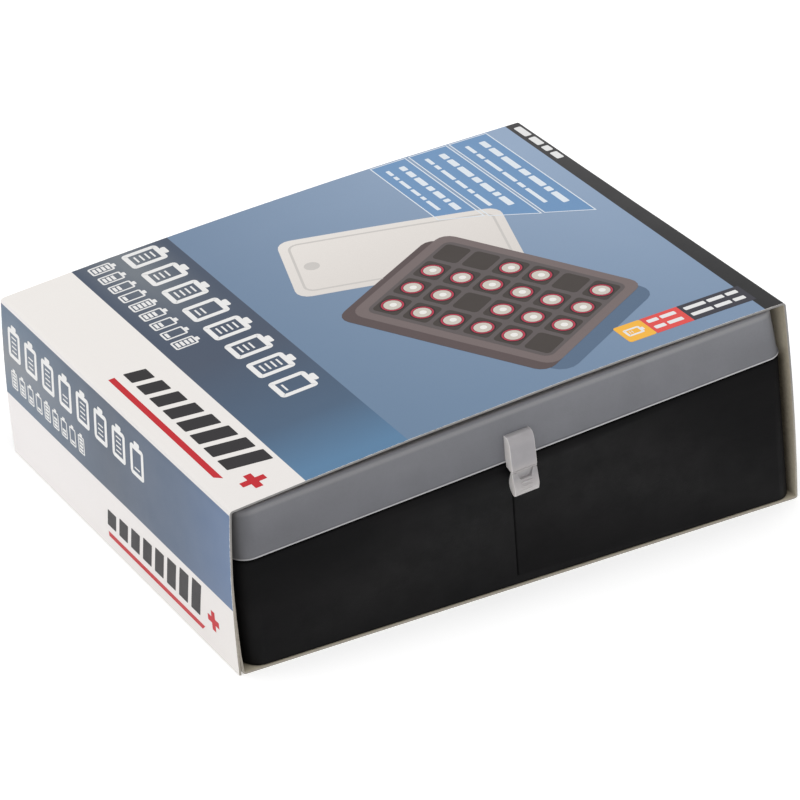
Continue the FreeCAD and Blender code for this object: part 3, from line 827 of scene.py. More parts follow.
@dataclass
class CardSleeve:
    """One folded blank of card: four panels, and a glue flap inside the shallow side."""

    foot_left: Point = (-85.79, 0.0)
    foot_right: Point = (85.88, 0.0)
    top_left: Point = (-87.44, SIDE_TOP)
    top_right: Point = (77.96, 61.69)
    depth: float = 130.38
    card: float = 0.55
    roof_bow: float = 1.6
    side_bow: float = 0.7
    fold_radius: float = 0.9
    flap_height: float = 33.0
    flap_play: float = 0.03
    flap_opening: float = 0.42
    flap_setback: float = 0.5
    flap_taper: float = 0.03
    flap_rows: int = 6
    flap_zone: float = 0.9
    roof_facing: float = 0.75
    deep_facing: float = 0.3
    shallow_facing: float = -0.5
    free_edge: float = 0.15
    step: float = 5.0
    near: float = 0.02
    wave: float = 0.22
    wave_feature: float = 42.0
    wave_rise: Point = (2.0, 14.0)
    slots: int = 4

    def bowed(self, start: Point, end: Point, bow: float, count: int) -> List[Point]:
        """Points of a slightly bowed panel, without its first one.

        Args:
            start: the panel's first corner, in the section.
            end: its last corner.
            bow: how far its middle stands out.
            count: how many steps it has.

        Returns:
            The points after start.
        """
        along = Vector((end[0] - start[0], end[1] - start[1]))
        outward = Vector((-along.y, along.x)).normalized()
        points = []
        for index in range(1, count + 1):
            share = index / count
            swell = 4 * bow * share * (1 - share)
            points.append((start[0] + along.x * share + outward.x * swell,
                           start[1] + along.y * share + outward.y * swell))
        return points

    def side_x(self, height: float) -> float:
        """X of the shallow side's outer face at a height."""
        share = height / self.top_left[1]
        swell = 4 * self.side_bow * share * (1 - share)
        return self.foot_left[0] + share * (self.top_left[0] - self.foot_left[0]) - swell

    def flap_inset(self, height: float) -> float:
        """How far the flap's outer face lies inside the shallow side's outer face, at a height."""
        return self.card + self.flap_play + self.flap_opening * (1 - height / self.flap_height)

    def flap_heights(self) -> List[float]:
        """Heights of the flap's rows of vertices over the floor."""
        return [index * self.flap_height / self.flap_rows for index in range(1, self.flap_rows + 1)]

    def flap_foot(self) -> Point:
        """The section's corner where the flap is folded up."""
        return self.foot_left[0] + self.flap_inset(0.0), 0.0

    def section(self) -> List[Point]:
        """The blank's outer line, from the free edge of the shallow side round to the flap's edge."""
        start = (self.foot_left[0], self.free_edge)
        line = [start]
        for corner, bow, count in ((self.top_left, self.side_bow, 12), (self.top_right, self.roof_bow, 34),
                                   (self.foot_right, self.side_bow, 12), (self.flap_foot(), 0.0, 10)):
            line += self.bowed(start, corner, bow, count)
            start = corner
        return line + [(self.side_x(z) + self.flap_inset(z), z) for z in self.flap_heights()]

    def sheet(self) -> Thing:
        """The outer surface: one line of card swept step by step round the section.

        Returns:
            The open surface, normals outward.
        """
        line = self.section()
        clear_selection()
        rows = round(self.depth / self.step)
        bpy.ops.mesh.primitive_grid_add(x_subdivisions=1, y_subdivisions=rows, size=1.0)
        sheet = bpy.context.object
        sheet.scale = (self.step * MM, self.depth * MM, 1.0)
        middle = (line[0][0] + self.step / 2) * MM
        sheet.location = (middle, 0.0, line[0][1] * MM)
        settle(sheet, "card_sleeve")
        with Bench(sheet) as bench:
            bench.pick(Element.VERTEX, lambda v: v.co.x > middle)
            bpy.ops.mesh.delete(type="VERT")
            bench.pick(Element.EDGE, lambda e: True)
            for here, there in zip(line, line[1:]):
                shift = ((there[0] - here[0]) * MM, 0.0, (there[1] - here[1]) * MM)
                bpy.ops.mesh.extrude_edges_move(TRANSFORM_OT_translate={"value": shift})
            roof = self.top_left[1] * MM
            turned = bench.pick(Element.FACE, lambda f: f.calc_center_median().z > roof and f.normal.z < 0)
            bench.everything()
            if turned:
                bpy.ops.mesh.flip_normals()
        return sheet

    def crease(self, sheet: Thing) -> None:
        """Round the folds.

        Args:
            sheet: the outer surface.
        """
        corners = [Vector((x * MM, 0.0, z * MM))
                   for x, z in (self.top_left, self.top_right, self.foot_right, self.flap_foot())]

        def on_fold(edge: object) -> bool:
            """An edge that runs from front to back on one of the corners."""
            ends = [Vector((v.co.x, 0.0, v.co.z)) for v in edge.verts]
            return any(max((end - corner).length for end in ends) < self.near * MM for corner in corners)

        with Bench(sheet) as bench:
            bench.pick(Element.EDGE, on_fold)
            bpy.ops.mesh.bevel(offset=self.fold_radius * MM, segments=4, affect="EDGES")

    def trim_flap(self, sheet: Thing) -> None:
        """Draw the flap's two ends in, further towards its free edge, as a glue flap is cut.

        Args:
            sheet: the outer surface.
        """
        with Bench(sheet) as bench:
            for height in self.flap_heights():
                inner = (self.side_x(height) + self.card / 2) * MM
                bench.pick(Element.VERTEX, lambda v: abs(v.co.z - height * MM) < self.near * MM
                           and inner < v.co.x < self.flap_zone * self.foot_left[0] * MM)
                inset = self.flap_setback + self.flap_taper * height
                bpy.ops.transform.resize(value=(1.0, 1 - 2 * inset / self.depth, 1.0),
                                         center_override=(0.0, 0.0, 0.0))

    def paint(self, sheet: Thing) -> None:
        """Give each panel its print.

        Args:
            sheet: the creased surface.
        """
        prints = [RoofPrint().build(), SidePrint().build(),
                  PlainCoat("deep_side_print", Shade(70, 71, 72)).build(),
                  PlainCoat("white_coat", Shade(236, 233, 229)).build()]
        dress(sheet, prints + [BareCard().build()] * self.slots + [CutEdge().build()] * self.slots)

        def part(face: object) -> int:
            """Index of the print that a face carries."""
            middle = face.calc_center_median() / MM
            if face.normal.z > self.roof_facing:
                return 0
            if face.normal.x > self.deep_facing:
                return 2
            outside = middle.x < self.side_x(middle.z) + self.card / 2
            return 1 if face.normal.x < self.shallow_facing and outside else 3

        with Bench(sheet) as bench:
            for index in range(self.slots):
                bench.pick(Element.FACE, lambda f: part(f) == index)
                sheet.active_material_index = index
                bpy.ops.object.material_slot_assign()

    def wavy(self, sheet: Thing) -> None:
        """Let the free panels wave a little, as card does.

        Args:
            sheet: the surface.
        """
        group = sheet.vertex_groups.new(name="free_panels")
        low, high = self.wave_rise
        for vertex in sheet.data.vertices:
            weight = (vertex.co.z / MM - low) / (high - low)
            group.add([vertex.index], min(max(weight, 0.0), 1.0), "REPLACE")
        clouds = bpy.data.textures.new("card_wave", "CLOUDS")
        clouds.noise_scale = self.wave_feature * MM
        clouds.noise_depth = 1
        finish_with(sheet, "DISPLACE", texture=clouds, strength=self.wave * MM, mid_level=0.5,
                    vertex_group=group.name, texture_coords="LOCAL")
        sheet.vertex_groups.clear()

    def build(self) -> Thing:
        """Make the sleeve, dressed, in the place of its five panels.

        Returns:
            The sleeve.
        """
        sheet = self.sheet()
        for change in (self.trim_flap, self.crease, self.paint, self.wavy):
            change(sheet)
        finish_with(sheet, "SOLIDIFY", thickness=self.card * MM, offset=-1.0, use_even_offset=True,
                    material_offset=self.slots, material_offset_rim=2 * self.slots)
        smooth(sheet, 40.0)
        return enlist(sheet, Body.SLEEVE, Slot.PRINTED_CARD, "sleeve_bottom_panel", "sleeve_deep_side_panel",
                      "sleeve_top_panel", "sleeve_shallow_side_panel", "sleeve_glue_flap")


# Print

def plate(a0: float, a1: float, b0: float, b1: float, radius: float = 0.0, slant: float = 0.0,
          lean: float = 0.0) -> Thing:
    """Flat four-sided shape of the print, in the panel's own plane.

    Args:
        a0: start along the reading direction.
        a1: end along it.
        b0: foot.
        b1: top.
        radius: radius of its corners.
        slant: how far the top leans forward.
        lean: how far the end's top alone leans forward.

    Returns:
        The shape.
    """
    clear_selection()
    bpy.ops.mesh.primitive_plane_add(size=1.0, location=((a0 + a1) / 2 * MM, (b0 + b1) / 2 * MM, 0.0))
    shape = bpy.context.object
    shape.scale = ((a1 - a0) * MM, (b1 - b0) * MM, 1.0)
    settle(shape, "print_plate")
    with Bench(shape) as bench:
        for shift, start in ((slant, a0 - 1.0), (lean, (a0 + a1) / 2)):
            if shift:
                bench.pick(Element.VERTEX, lambda v: v.co.y > (b0 + b1) / 2 * MM and v.co.x > start * MM)
                bpy.ops.transform.translate(value=(shift * MM, 0.0, 0.0))
        if radius:
            bench.everything()
            bpy.ops.mesh.bevel(offset=radius * MM, segments=4, affect="VERTICES")
    return shape


def outline(shape: Thing, line: float) -> Thing:
    """Turn a filled shape into its outline.

    Args:
        shape: the filled shape.
        line: thickness of the line.

    Returns:
        The same shape, hollow.
    """
    with Bench(shape) as bench:
        bench.everything()
        bpy.ops.mesh.inset(thickness=line * MM, depth=0.0, use_boundary=True)
        bpy.ops.mesh.delete(type="FACE")
    return shape


def disc(spot: Point, radius: float, corners: int = 20) -> Thing:
    """Filled circle of the print.

    Args:
        spot: its middle.
        radius: its radius.
        corners: how many corners it has.

    Returns:
        The shape.
    """
    clear_selection()
    bpy.ops.mesh.primitive_circle_add(vertices=corners, radius=radius * MM, fill_type="NGON",
                                      location=(spot[0] * MM, spot[1] * MM, 0.0))
    return settle(bpy.context.object, "print_disc")


def stripes(a0: float, a1: float, b0: float, b1: float, lengths: Sequence[float], gap: float) -> List[Thing]:
    """A broken line with equal gaps.

    Args:
        a0: start.
        a1: end.
        b0: foot.
        b1: top.
        lengths: the stripes' lengths, as shares of each other.
        gap: gap between them.

    Returns:
        The stripes.
    """
    room = a1 - a0 - gap * (len(lengths) - 1)
    shapes = []
    for length in lengths:
        size = room * length / sum(lengths)
        shapes.append(plate(a0, a0 + size, b0, b1, (b1 - b0) * 0.2))
        a0 += size + gap
    return shapes


@dataclass(frozen=True)
class CellSign:
    """Generic sign of a cell: an outline with a nub and some bars of charge, alone or in a row."""

    width: float
    height: float
    line: float
    pitch: float = 0.0
    charges: Sequence[int] = ()
    nub: float = 0.12
    nub_half: float = 0.2
    corner: float = 0.14
    gap: float = 0.75
    most: int = 4

    def draw(self, a: float, b: float, bars: int) -> List[Thing]:
        """Draw one sign.

        Args:
            a: its left side.
            b: its foot.
            bars: how many bars of charge it shows.

        Returns:
            Its shapes.
        """
        body = self.height * (1 - self.nub)
        middle, half = a + self.width / 2, self.width * self.nub_half
        shapes = [outline(plate(a, a + self.width, b, b + body, self.width * self.corner), self.line),
                  plate(middle - half, middle + half, b + body + 0.01, b + self.height, half * 0.3)]
        gap = self.line * self.gap
        step = (body - 2 * self.line - gap) / self.most
        for index in range(bars):
            foot = b + self.line + gap + index * step
            shapes.append(plate(a + self.line + gap, a + self.width - self.line - gap, foot, foot + step - gap))
        return shapes

    def row(self, a: float, b: float) -> List[Thing]:
        """Draw a row of signs whose first one has its left foot at a, b."""
        return [shape for index, bars in enumerate(self.charges)
                for shape in self.draw(a + index * self.pitch, b, bars)]


@dataclass(frozen=True)
class Gauge:
    """Generic charge gauge from a left foot: slanted blocks that grow taller, over a red wedge and a plus."""

    a: float
    b: float
    length: float
    height: float
    blocks: int = 8
    slant: float = 0.22

    def dark(self) -> List[Thing]:
        """The blocks.

        Returns:
            Their shapes.
        """
        pitch = 0.86 * self.length / self.blocks
        foot = self.b + 0.34 * self.height
        shapes = []
        for index in range(self.blocks):
            rise = self.height * (0.34 + 0.32 * index / (self.blocks - 1))
            start = self.a + index * pitch
            shapes.append(plate(start, start + 0.72 * pitch, foot, foot + rise, 0.3, self.slant * rise))
        return shapes

    def red(self) -> List[Thing]:
        """The wedge under the blocks and the plus sign after them.

        Returns:
            Their shapes.
        """
        tenth = 0.1 * self.height
        under = plate(self.a, self.a + 0.84 * self.length, self.b + tenth, self.b + 2 * tenth, lean=tenth)
        a, b = self.a + 0.95 * self.length, self.b + 0.5 * self.height
        arm, bar = 0.19 * self.height, 0.06 * self.height
        return [under, plate(a - arm, a + arm, b - bar, b + bar),
                plate(a - bar, a + bar, b + bar + 0.01, b + arm),
                plate(a - bar, a + bar, b - arm, b - bar - 0.01)]


WHITE_INK = Ink("white_ink", Shade(236, 235, 234))
DARK_INK = Ink("dark_ink", Shade(52, 50, 52))
RED_INK = Ink("red_ink", Shade(196, 44, 52))
BIG_CHARGES = (4, 3, 4, 2, 4, 3, 4, 1)
SMALL_CHARGES = (4, 3, 2, 1, 4, 3, 2, 1, 4)


@dataclass
class Design:
    """Print on one panel: a runs from the back to the front, b up the panel, and the face looks outward."""

    sleeve: Thing
    name: str
    base: Spot
    b_axis: Spot
    out: Spot
    project: str
    grid: float = 5.0
    ink_lift: float = 0.035

    def matrix(self) -> Matrix:
        """The plane's place in the case's frame."""
        columns = (Vector((0.0, -1.0, 0.0)), Vector(self.b_axis), Vector(self.out))
        turn = Matrix([[column[row] for column in columns] for row in range(3)]).to_4x4()
        return Matrix.Translation(Vector(self.base) * MM) @ turn

    def cut_up(self, shape: Thing) -> None:
        """Cut a shape along a grid, so that it can follow the panel's curve.

        Args:
            shape: the flat shape.
        """
        spots = [vertex.co for vertex in shape.data.vertices]
        with Bench(shape) as bench:
            for axis, normal in enumerate(((1.0, 0.0, 0.0), (0.0, 1.0, 0.0))):
                low = min(spot[axis] for spot in spots)
                high = max(spot[axis] for spot in spots)
                count = int((high - low) / (self.grid * MM))
                for index in range(1, count + 1):
                    point = [0.0, 0.0, 0.0]
                    point[axis] = low + index * (high - low) / (count + 1)
                    bench.everything()
                    bpy.ops.mesh.bisect(plane_co=point, plane_no=normal)

    def lay(self, shapes: Sequence[Thing], ink: Ink, lift: float, turn: float = 0.0,
            at: Point = (0.0, 0.0)) -> None:
        """Lay shapes of one ink on the panel as one closed layer.

        Args:
            shapes: flat shapes.
            ink: their ink.
            lift: height of the ink's face over the card.
            turn: angle in degrees that they are turned by in the plane.
            at: where their origin then goes.
        """
        name = f"{self.name}_{ink.name}"
        select_only(shapes)
        if len(shapes) > 1:
            bpy.ops.object.join()
        layer = bpy.context.view_layer.objects.active
        layer.matrix_world = (Matrix.Translation((at[0] * MM, at[1] * MM, 0.0))
                              @ Matrix.Rotation(math.radians(turn), 4, "Z"))
        self.cut_up(settle(layer, name))
        layer.matrix_world = self.matrix()
        settle(layer, name)
        away = self.out[0] < 0
        settings = {f"use_project_{self.project}": True, "use_positive_direction": away,
                    "use_negative_direction": not away}
        finish_with(layer, "SHRINKWRAP", wrap_method="PROJECT", target=self.sleeve, **settings)
        layer.location = Vector(self.out) * lift * MM
        settle(layer, name)
        finish_with(layer, "SOLIDIFY", thickness=0.8 * lift * MM, offset=-1.0)
        dress(layer, [ink.build()])
        enlist(layer, Body.SLEEVE, Slot.PRINTED_CARD)

    def signs(self, *rows: Tuple[CellSign, Point]) -> None:
        """Lay rows of signs, each from the left foot of its first one."""
        self.lay([shape for sign, spot in rows for shape in sign.row(*spot)], WHITE_INK, self.ink_lift)

    def gauge(self, gauge: Gauge) -> None:
        """Lay a gauge in its two inks."""
        self.lay(gauge.dark(), DARK_INK, self.ink_lift)
        self.lay(gauge.red(), RED_INK, self.ink_lift)


@dataclass
class RoofDesign(Design):
    """Signs, gauge, bars, badge and picture on the roof panel.  b is x in the case's frame."""

    name: str = "roof"
    base: Spot = (0.0, ROOF.back, 90.0)
    b_axis: Spot = (1.0, 0.0, 0.0)
    out: Spot = (0.0, 0.0, 1.0)
    project: str = "z"
    picture_turn: float = 28.0
    picture_at: Point = (84.0, 18.0)
    lid_turn: float = -18.0
    lid_at: Point = (46.0, 8.0)
    columns: int = 6
    rows: int = 4
    empty: Sequence[Tuple[int, int]] = ((0, 3), (1, 3), (5, 0), (2, 1), (4, 3))

    def bars(self) -> None:
        """Three blue bars from the back edge, each with a white outline and two broken lines."""
        fills: List[Thing] = []
        lines: List[Thing] = []
        for low, high, short, far in ((0.852, 0.929, 0.396, 0.448), (0.771, 0.848, 0.340, 0.396),
                                      (0.695, 0.766, 0.292, 0.335)):
            b0, b1 = ROOF.x(low), ROOF.x(high)
            start, end = 0.6, ROOF.a(short)
            lean = ROOF.a(far) - end
            fills.append(plate(start, end, b0, b1, lean=lean))
            lines.append(outline(plate(start, end, b0, b1, lean=lean), 0.35))
            for back, foot, top, lengths in ((2.0, 0.60, 0.76, (3, 4, 6, 3, 5, 2, 5)),
                                             (5.0, 0.24, 0.34, (3, 2, 5, 4, 2, 6))):
                lines += stripes(start + 4.0, end - back, b0 + foot * (b1 - b0), b0 + top * (b1 - b0),
                                 lengths, 1.0)
        self.lay(fills, Ink("bar_ink", Shade(108, 146, 188), Shade(116, 152, 192)), 0.03)
        self.lay(lines, Ink("line_ink", Shade(226, 233, 240)), 0.06)

    def badge(self) -> None:
        """Badge of three blocks by the front edge, and a broken line on the dark strip."""
        a0, a1 = ROOF.a(0.8885), ROOF.a(0.955)
        edges = [ROOF.x(share) for share in (0.730, 0.781, 0.851, ROOF.strip_start)]
        for name, shade, radius, b0, b1 in zip(
                ("badge_orange", "badge_red", "badge_dark"),
                (Shade(245, 184, 72), Shade(226, 84, 80), Shade(66, 66, 74)), (0.8, 0.0, 0.0),
                edges, edges[1:]):
            self.lay([plate(a0, a1, b0, b1 - 0.05, radius)], Ink(name, shade), 0.03)
        marks = CellSign(3.6, 5.6, 0.7).draw(a0 + 2.5, edges[0] + 1.4, 2)
        for b0, b1, lengths in ((edges[1], edges[2], (3, 4)), (edges[2], edges[3], (5, 4, 3))):
            place = b0 + 1.0
            for length in lengths:
                size = (b1 - b0 - 2.0) * length / sum(lengths) - 0.8
                marks += [plate(foot, foot + 1.6, place, place + size, 0.3) for foot in (a0 + 1.5, a0 + 5.1)]
                place += size + 0.8
        marks += stripes(ROOF.a(0.02), ROOF.a(0.2), ROOF.x(0.977), ROOF.x(0.991), (6, 5, 3, 4), 1.4)
        self.lay(marks, Ink("mark_ink", Shade(232, 232, 232)), 0.06)

    def picture(self) -> None:
        """Generic picture: an open tray of cells seen from above, with a white lid beside it."""
        tray, lid = (self.picture_turn, self.picture_at), (self.lid_turn, self.lid_at)
        wells = [(-23.0 + column * 9.2, -15.3 + row * 10.2, (column, row) in self.empty)
                 for column in range(self.columns) for row in range(self.rows)]
        cells = [(a, b) for a, b, empty in wells if not empty]
        for name, shade, lift, place, shapes in (
                ("shadow", Shade(92, 112, 136), 0.02, tray, [plate(-30.0, 36.0, -25.5, 22.0, 5.0)]),
                ("lid", Shade(214, 208, 203), 0.035, lid, [plate(-16.0, 16.0, -29.0, 34.0, 4.0)]),
                ("lid_line", Shade(204, 200, 196), 0.05, lid,
                 [outline(plate(-13.5, 13.5, -26.5, 31.5, 3.0), 0.7), disc((0.0, -22.0), 2.2)]),
                ("side", Shade(94, 82, 82), 0.05, tray, [plate(-33.0, 31.0, -27.5, 20.0, 4.0)]),
                ("tray", Shade(120, 108, 107), 0.06, tray, [plate(-31.0, 31.0, -24.0, 24.0, 4.0)]),
                ("deck", Shade(98, 91, 91), 0.075, tray, [plate(-28.0, 28.0, -21.0, 21.0, 2.5)]),
                ("wells", Shade(72, 66, 63), 0.09, tray,
                 [plate(a - 3.9, a + 3.9, b - 4.3, b + 4.3, 1.2) for a, b, _ in wells]),
                ("bodies", Shade(52, 44, 46), 0.1, tray, [disc(cell, 3.5) for cell in cells]),
                ("rings", Shade(184, 60, 80), 0.115, tray, [outline(disc(cell, 3.1), 0.5) for cell in cells]),
                ("caps", Shade(206, 200, 190), 0.115, tray, [disc(cell, 2.45) for cell in cells]),
                ("nubs", Shade(238, 236, 232), 0.13, tray,
                 [disc((a + 0.15, b + 0.15), 1.0, 12) for a, b in cells])):
            ink = Ink(f"picture_{name}", shade)
            if name == "lid":
                ink = Ink(ink.name, shade, Shade(233, 228, 223), (-20.0, 45.0))
            self.lay(shapes, ink, lift, *place)

    def build(self) -> None:
        """Lay the whole design."""
        big = CellSign(8.6, ROOF.x(0.288) - ROOF.x(0.214), 1.5, 11.9, BIG_CHARGES)
        small = CellSign(4.3, ROOF.x(0.197) - ROOF.x(0.151), 0.55, 6.1, SMALL_CHARGES)
        self.signs((big, (ROOF.a(0.012), ROOF.x(0.214))), (small, (ROOF.a(0.016), ROOF.x(0.151))))
        self.gauge(Gauge(ROOF.a(0.434), ROOF.x(0.014), ROOF.a(0.528), ROOF.x(0.121) - ROOF.x(0.014)))
        self.bars()
        self.badge()
        self.picture()


@dataclass
class SideDesign(Design):
    """Signs and gauge on the shallow side.  b is the height over the floor."""

    name: str = "side"
    base: Spot = (-120.0, ROOF.back, 0.0)
    b_axis: Spot = (0.0, 0.0, 1.0)
    out: Spot = (-1.0, 0.0, 0.0)
    project: str = "x"

    def spot(self, depth: float, down: float) -> Point:
        """Place of a share of the depth from the back and a share of the height from the top."""
        return ROOF.a(depth), SIDE_TOP * (1 - down)

    def build(self) -> None:
        """Lay the whole design."""
        big = CellSign(7.4, SIDE_TOP * (0.321 - 0.107), 1.3, 10.4, BIG_CHARGES)
        small = CellSign(3.6, SIDE_TOP * (0.519 - 0.393), 0.45, 5.1, SMALL_CHARGES)
        self.signs((big, self.spot(0.030, 0.321)), (small, self.spot(0.034, 0.519)))
        start, end = self.spot(0.453, 0.952), self.spot(0.934, 0.63)
        self.gauge(Gauge(*start, end[0] - start[0], end[1] - start[1]))


# Latch

Ring = Tuple[float, float, float]


def tower(rings: Sequence[Ring], width: float) -> Thing:
    """Closed block built up from ring to ring.

    Args:
        rings: (height, front, back) of each ring; front and back are how far each stands proud.
        width: the block's width along x, centred.

    Returns:
        The block.
    """
    height, front, back = rings[0]
    clear_selection()
    bpy.ops.mesh.primitive_plane_add(size=1.0, location=(0.0, -(front + back) / 2 * MM, height * MM))
    block = bpy.context.object
    block.scale = (width * MM, (front - back) * MM, 1.0)
    settle(block, "tower")
    with Bench(block) as bench:
        bench.everything()
        for old, new in zip(rings, rings[1:]):
            middle = -(new[1] + new[2]) / 2 * MM
            shift = (0.0, middle + (old[1] + old[2]) / 2 * MM, (new[0] - old[0]) * MM)
            bpy.ops.mesh.extrude_region_move(TRANSFORM_OT_translate={"value": shift})
            bpy.ops.transform.resize(value=(1.0, (new[1] - new[2]) / (old[1] - old[2]), 1.0),
                                     center_override=(0.0, middle, new[0] * MM))
        bench.everything()
        bpy.ops.mesh.normals_make_consistent(inside=False)
    return block


@dataclass
class Latch:
    """Latch of one translucent moulding: a block on the lid and a flap that hangs from it on a thin web.

    Heights are over the hinge line and depths are proud of the box's front, both square to the lid.
    """

    width: float = 7.4
    hinge_proud: float = 3.0
    edge_radius: float = 0.28
    edge_angle: float = 38.0
    smooth_angle: float = 50.0
    catch_width: float = 5.8
    tooth_width: float = 5.76
    web_radius: float = 0.3
    thumb_size: Spot = (5.2, 2.0, 2.5)
    thumb_foot: float = 3.2
    thumb_proud: float = 4.08
    thumb_height: float = -1.2
    grip_heights: Tuple[float, ...] = (-3.5, -4.6, -5.7)
    grip_height: float = 0.45
    grip_proud: float = 4.34
    grip_radius: float = 0.14
    grip_root: float = 1.0
    merge: float = 0.0008
    block_rings: Tuple[Ring, ...] = (
        (0.1, 3.0, 2.25), (0.55, 3.42, 0.95), (0.6, 3.43, 0.42), (1.88, 3.33, 0.42), (1.92, 3.32, 0.02),
        (4.0, 3.12, 0.02), (6.0, 2.93, 0.02), (7.4, 2.78, 0.02), (8.2, 2.62, 0.02), (8.9, 2.36, 0.02),
        (9.4, 2.0, 0.02), (9.7, 1.55, 0.02), (9.8, 1.25, 0.02))
    flap_rings: Tuple[Ring, ...] = (
        (-7.0, 3.66, 3.14), (-6.6, 3.9, 2.42), (-6.1, 4.08, 1.98), (-5.5, 4.22, 1.5), (-4.9, 4.26, 1.24),
        (-4.2, 4.2, 1.1), (-3.5, 4.06, 1.12), (-2.6, 3.86, 1.28), (-1.5, 3.64, 1.66), (-0.6, 3.46, 2.04),
        (-0.1, 3.0, 2.2))
    chamber_rings: Tuple[Ring, ...] = ((-3.15, 2.32, -1.0), (0.3, 2.32, -1.0))
    tooth_rings: Tuple[Ring, ...] = ((-4.35, 2.5, 1.0), (-3.75, 2.5, 0.4), (-3.25, 2.5, 0.4))

    def cut(self, thing: Thing, cutter: Thing, operation: str = "DIFFERENCE") -> None:
        """Cut with, or fuse, another solid, which is used up."""
        finish_with(thing, "BOOLEAN", operation=operation, object=cutter, solver="EXACT")
        bpy.data.objects.remove(cutter)

    def thumb(self) -> Thing:
        """Cutter of the tapered recess at the top of the flap's face.

        Returns:
            The cutter.
        """
        y, z = -self.thumb_proud * MM, self.thumb_height * MM
        clear_selection()
        bpy.ops.mesh.primitive_cube_add(size=1.0, location=(0.0, y, z))
        cutter = bpy.context.object
        cutter.scale = Vector(self.thumb_size) * MM
        settle(cutter, "thumb_cutter")
        with Bench(cutter) as bench:
            bench.pick(Element.VERTEX, lambda v: v.co.z < z)
            bpy.ops.transform.resize(value=(self.thumb_foot / self.thumb_size[0], 1.0, 1.0),
                                     center_override=(0.0, y, z - self.thumb_size[2] / 2 * MM))
        return cutter

    def rounded(self, thing: Thing, radius: float) -> Thing:
        """Round a piece's sharper edges and make its faces triangles, which cut cleanly."""
        finish_with(thing, "BEVEL", width=radius * MM, segments=3, limit_method="ANGLE",
                    angle_limit=math.radians(self.edge_angle))
        return finish_with(thing, "TRIANGULATE")

    def block(self) -> Thing:
        """The block on the lid, with the web at its foot.

        Returns:
            The block.
        """
        block = tower(self.block_rings, self.width)
        clear_selection()
        bpy.ops.mesh.primitive_cylinder_add(
            vertices=16, radius=self.web_radius * MM, depth=self.width * MM,
            location=(0.0, -self.hinge_proud * MM, 0.0), rotation=(0.0, math.radians(90), 0.0))
        self.cut(block, settle(bpy.context.object, "latch_web"), "UNION")
        return self.rounded(block, self.edge_radius)

    def flap(self) -> Thing:
        """The flap: hollow for the catch, with a tooth under it, a thumb recess and three grip bars.

        Returns:
            The flap.
        """
        flap = self.rounded(tower(self.flap_rings, self.width), self.edge_radius)
        self.cut(flap, tower(self.chamber_rings, self.catch_width))
        self.cut(flap, tower(self.tooth_rings, self.tooth_width), "UNION")
        self.cut(flap, self.thumb())
        front = self.grip_proud
        for foot in self.grip_heights:
            bar = tower([(height, front, front - self.grip_root) for height in (foot, foot + self.grip_height)],
                        self.thumb_foot)
            self.cut(flap, self.rounded(bar, self.grip_radius), "UNION")
        with Bench(flap) as bench:
            bench.weld(self.merge)
        return flap

    def build(self) -> None:
        """Make the block and the flap, and set them in their places, square to the lid."""
        hinge = Vector(HINGE["pos_m"]) + Vector((0.0, self.hinge_proud * MM, 0.0))
        material = ClearPlastic(self.width / 2, hinge).build()
        for thing, name, body, node in (
                (self.block(), "latch_block_moulding", Body.DRAWER, "latch_block"),
                (self.flap(), "latch_flap_moulding", Body.FLAP, "latch_flap")):
            thing.matrix_world = Matrix.Translation(hinge) @ Matrix.Rotation(-TILT, 4, "Y")
            smooth(settle(thing, name), self.smooth_angle)
            dress(thing, [material])
            enlist(thing, body, Slot.CLEAR_PLASTIC, node)


# Mouldings

@dataclass
class Mouldings:
    """Base, lid and trays: the lid and base as merged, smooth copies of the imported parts."""

    merge: float = 0.001
    smooth_angle: float = 32.0
    wall: float = 1.0

    def smooth_copy(self, node: str, name: str, slot: Slot, material: Material) -> None:
        """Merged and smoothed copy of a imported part, which it stands for.

        Args:
            node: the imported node.
            name: the copy's name.
            slot: the record's slot of its finish.
            material: its finish.
        """
        copy = bpy.data.objects.new(name, frame["nodes"][node].data.copy())
        bpy.context.scene.collection.objects.link(copy)
        with Bench(copy) as bench:
            bench.weld(self.merge)
        smooth(copy, self.smooth_angle)
        dress(copy, [material])
        enlist(copy, Body.DRAWER, slot, node)

    def rim_height(self) -> float:
        """Height in metres of the lowest points of the lid's front wall, brought to x = 0."""
        spots = [vertex.co for vertex in frame["nodes"]["lid"].data.vertices]
        front = min(spot.y for spot in spots) + self.wall * MM
        return min(spot.z - spot.x * math.tan(TILT) for spot in spots if spot.y < front)

    def build(self) -> None:
        """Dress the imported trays, and copy the base and the lid."""
        black = BlackPlastic().build()
        frosted = FrostedPlastic(Vector((0.0, 0.0, self.rim_height()))).build()
        self.smooth_copy("base_shell", "base_moulding", Slot.BLACK_PLASTIC, black)
        self.smooth_copy("lid", "lid_moulding", Slot.FROSTED_PLASTIC, frosted)
        for node in ("utility_tray", "aaa_tray", "block_tray", "aa_tray"):
            dress(frame["nodes"][node], [black])


# Studio

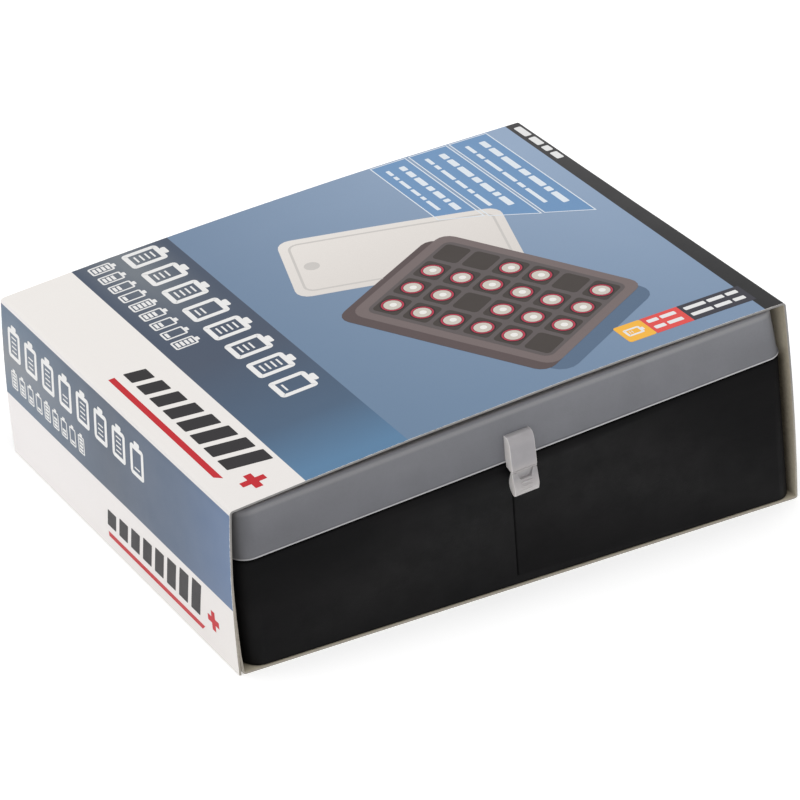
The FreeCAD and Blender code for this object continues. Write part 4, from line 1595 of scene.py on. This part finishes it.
@dataclass
class Studio:
    """White sweep, even soft light, and the camera at the front-left corner."""

    eye: Spot = (-443.0, -748.0, 509.0)
    azimuth: float = 30.6
    elevation: float = 29.19
    lens: float = 165.6
    clip: Point = (0.01, 50.0)
    sky: float = 0.62
    floor_size: float = 6000.0
    floor_drop: float = 0.02
    aim: Spot = (0.0, 0.0, 30.0)
    lamps: Sequence[Tuple[str, Spot, float, float]] = (("overhead", (-200.0, -250.0, 1500.0), 1600.0, 11.0),
                                                       ("left", (-1300.0, -500.0, 700.0), 1100.0, 1.0))

    def hang(self, name: str, data: bpy.types.ID, place: Spot, look: Vector) -> Thing:
        """Put a lamp or a camera in the scene.

        Args:
            name: its name.
            data: the lamp or camera.
            place: where it is.
            look: where it looks, from there.

        Returns:
            Its object.
        """
        thing = bpy.data.objects.new(name, data)
        bpy.context.scene.collection.objects.link(thing)
        thing.location = Vector(place) * MM
        thing.rotation_euler = look.to_track_quat("-Z", "Y").to_euler()
        return thing

    def camera(self) -> None:
        """Set up the camera."""
        lens = bpy.data.cameras.new("camera")
        lens.lens = self.lens
        lens.clip_start, lens.clip_end = self.clip
        azimuth, elevation = math.radians(self.azimuth), math.radians(self.elevation)
        look = Vector((math.sin(azimuth) * math.cos(elevation), math.cos(azimuth) * math.cos(elevation),
                       -math.sin(elevation)))
        bpy.context.scene.camera = self.hang("camera", lens, self.eye, look)

    def light(self) -> None:
        """Hang the square soft lamps, which look at the case."""
        for name, place, side, watts in self.lamps:
            lamp = bpy.data.lights.new(name, "AREA")
            lamp.size = side * MM
            lamp.energy = watts
            self.hang(name, lamp, place, Vector(self.aim) * MM - Vector(place) * MM)

    def build(self) -> None:
        """Set up the floor, the lights and the camera."""
        clear_selection()
        bpy.ops.mesh.primitive_plane_add(size=self.floor_size * MM, location=(0.0, 0.0, -self.floor_drop * MM))
        floor = settle(bpy.context.object, "floor")
        dress(floor, [FloorPaper().build()])
        world = bpy.data.worlds.new("sky")
        world.use_nodes = True
        world.node_tree.nodes["Background"].inputs["Color"].default_value = (1.0, 1.0, 1.0, 1.0)
        world.node_tree.nodes["Background"].inputs["Strength"].default_value = self.sky
        bpy.context.scene.world = world
        self.light()
        self.camera()
        bpy.context.scene.view_settings.view_transform = "Standard"


def main() -> None:
    """Build the pieces in order."""
    logging.basicConfig(level=logging.INFO, format="%(name)s: %(message)s")
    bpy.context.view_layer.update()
    sleeve = CardSleeve().build()
    RoofDesign(sleeve).build()
    SideDesign(sleeve).build()
    Latch().build()
    Mouldings().build()
    Studio().build()


if __name__ == "__main__":
    main()
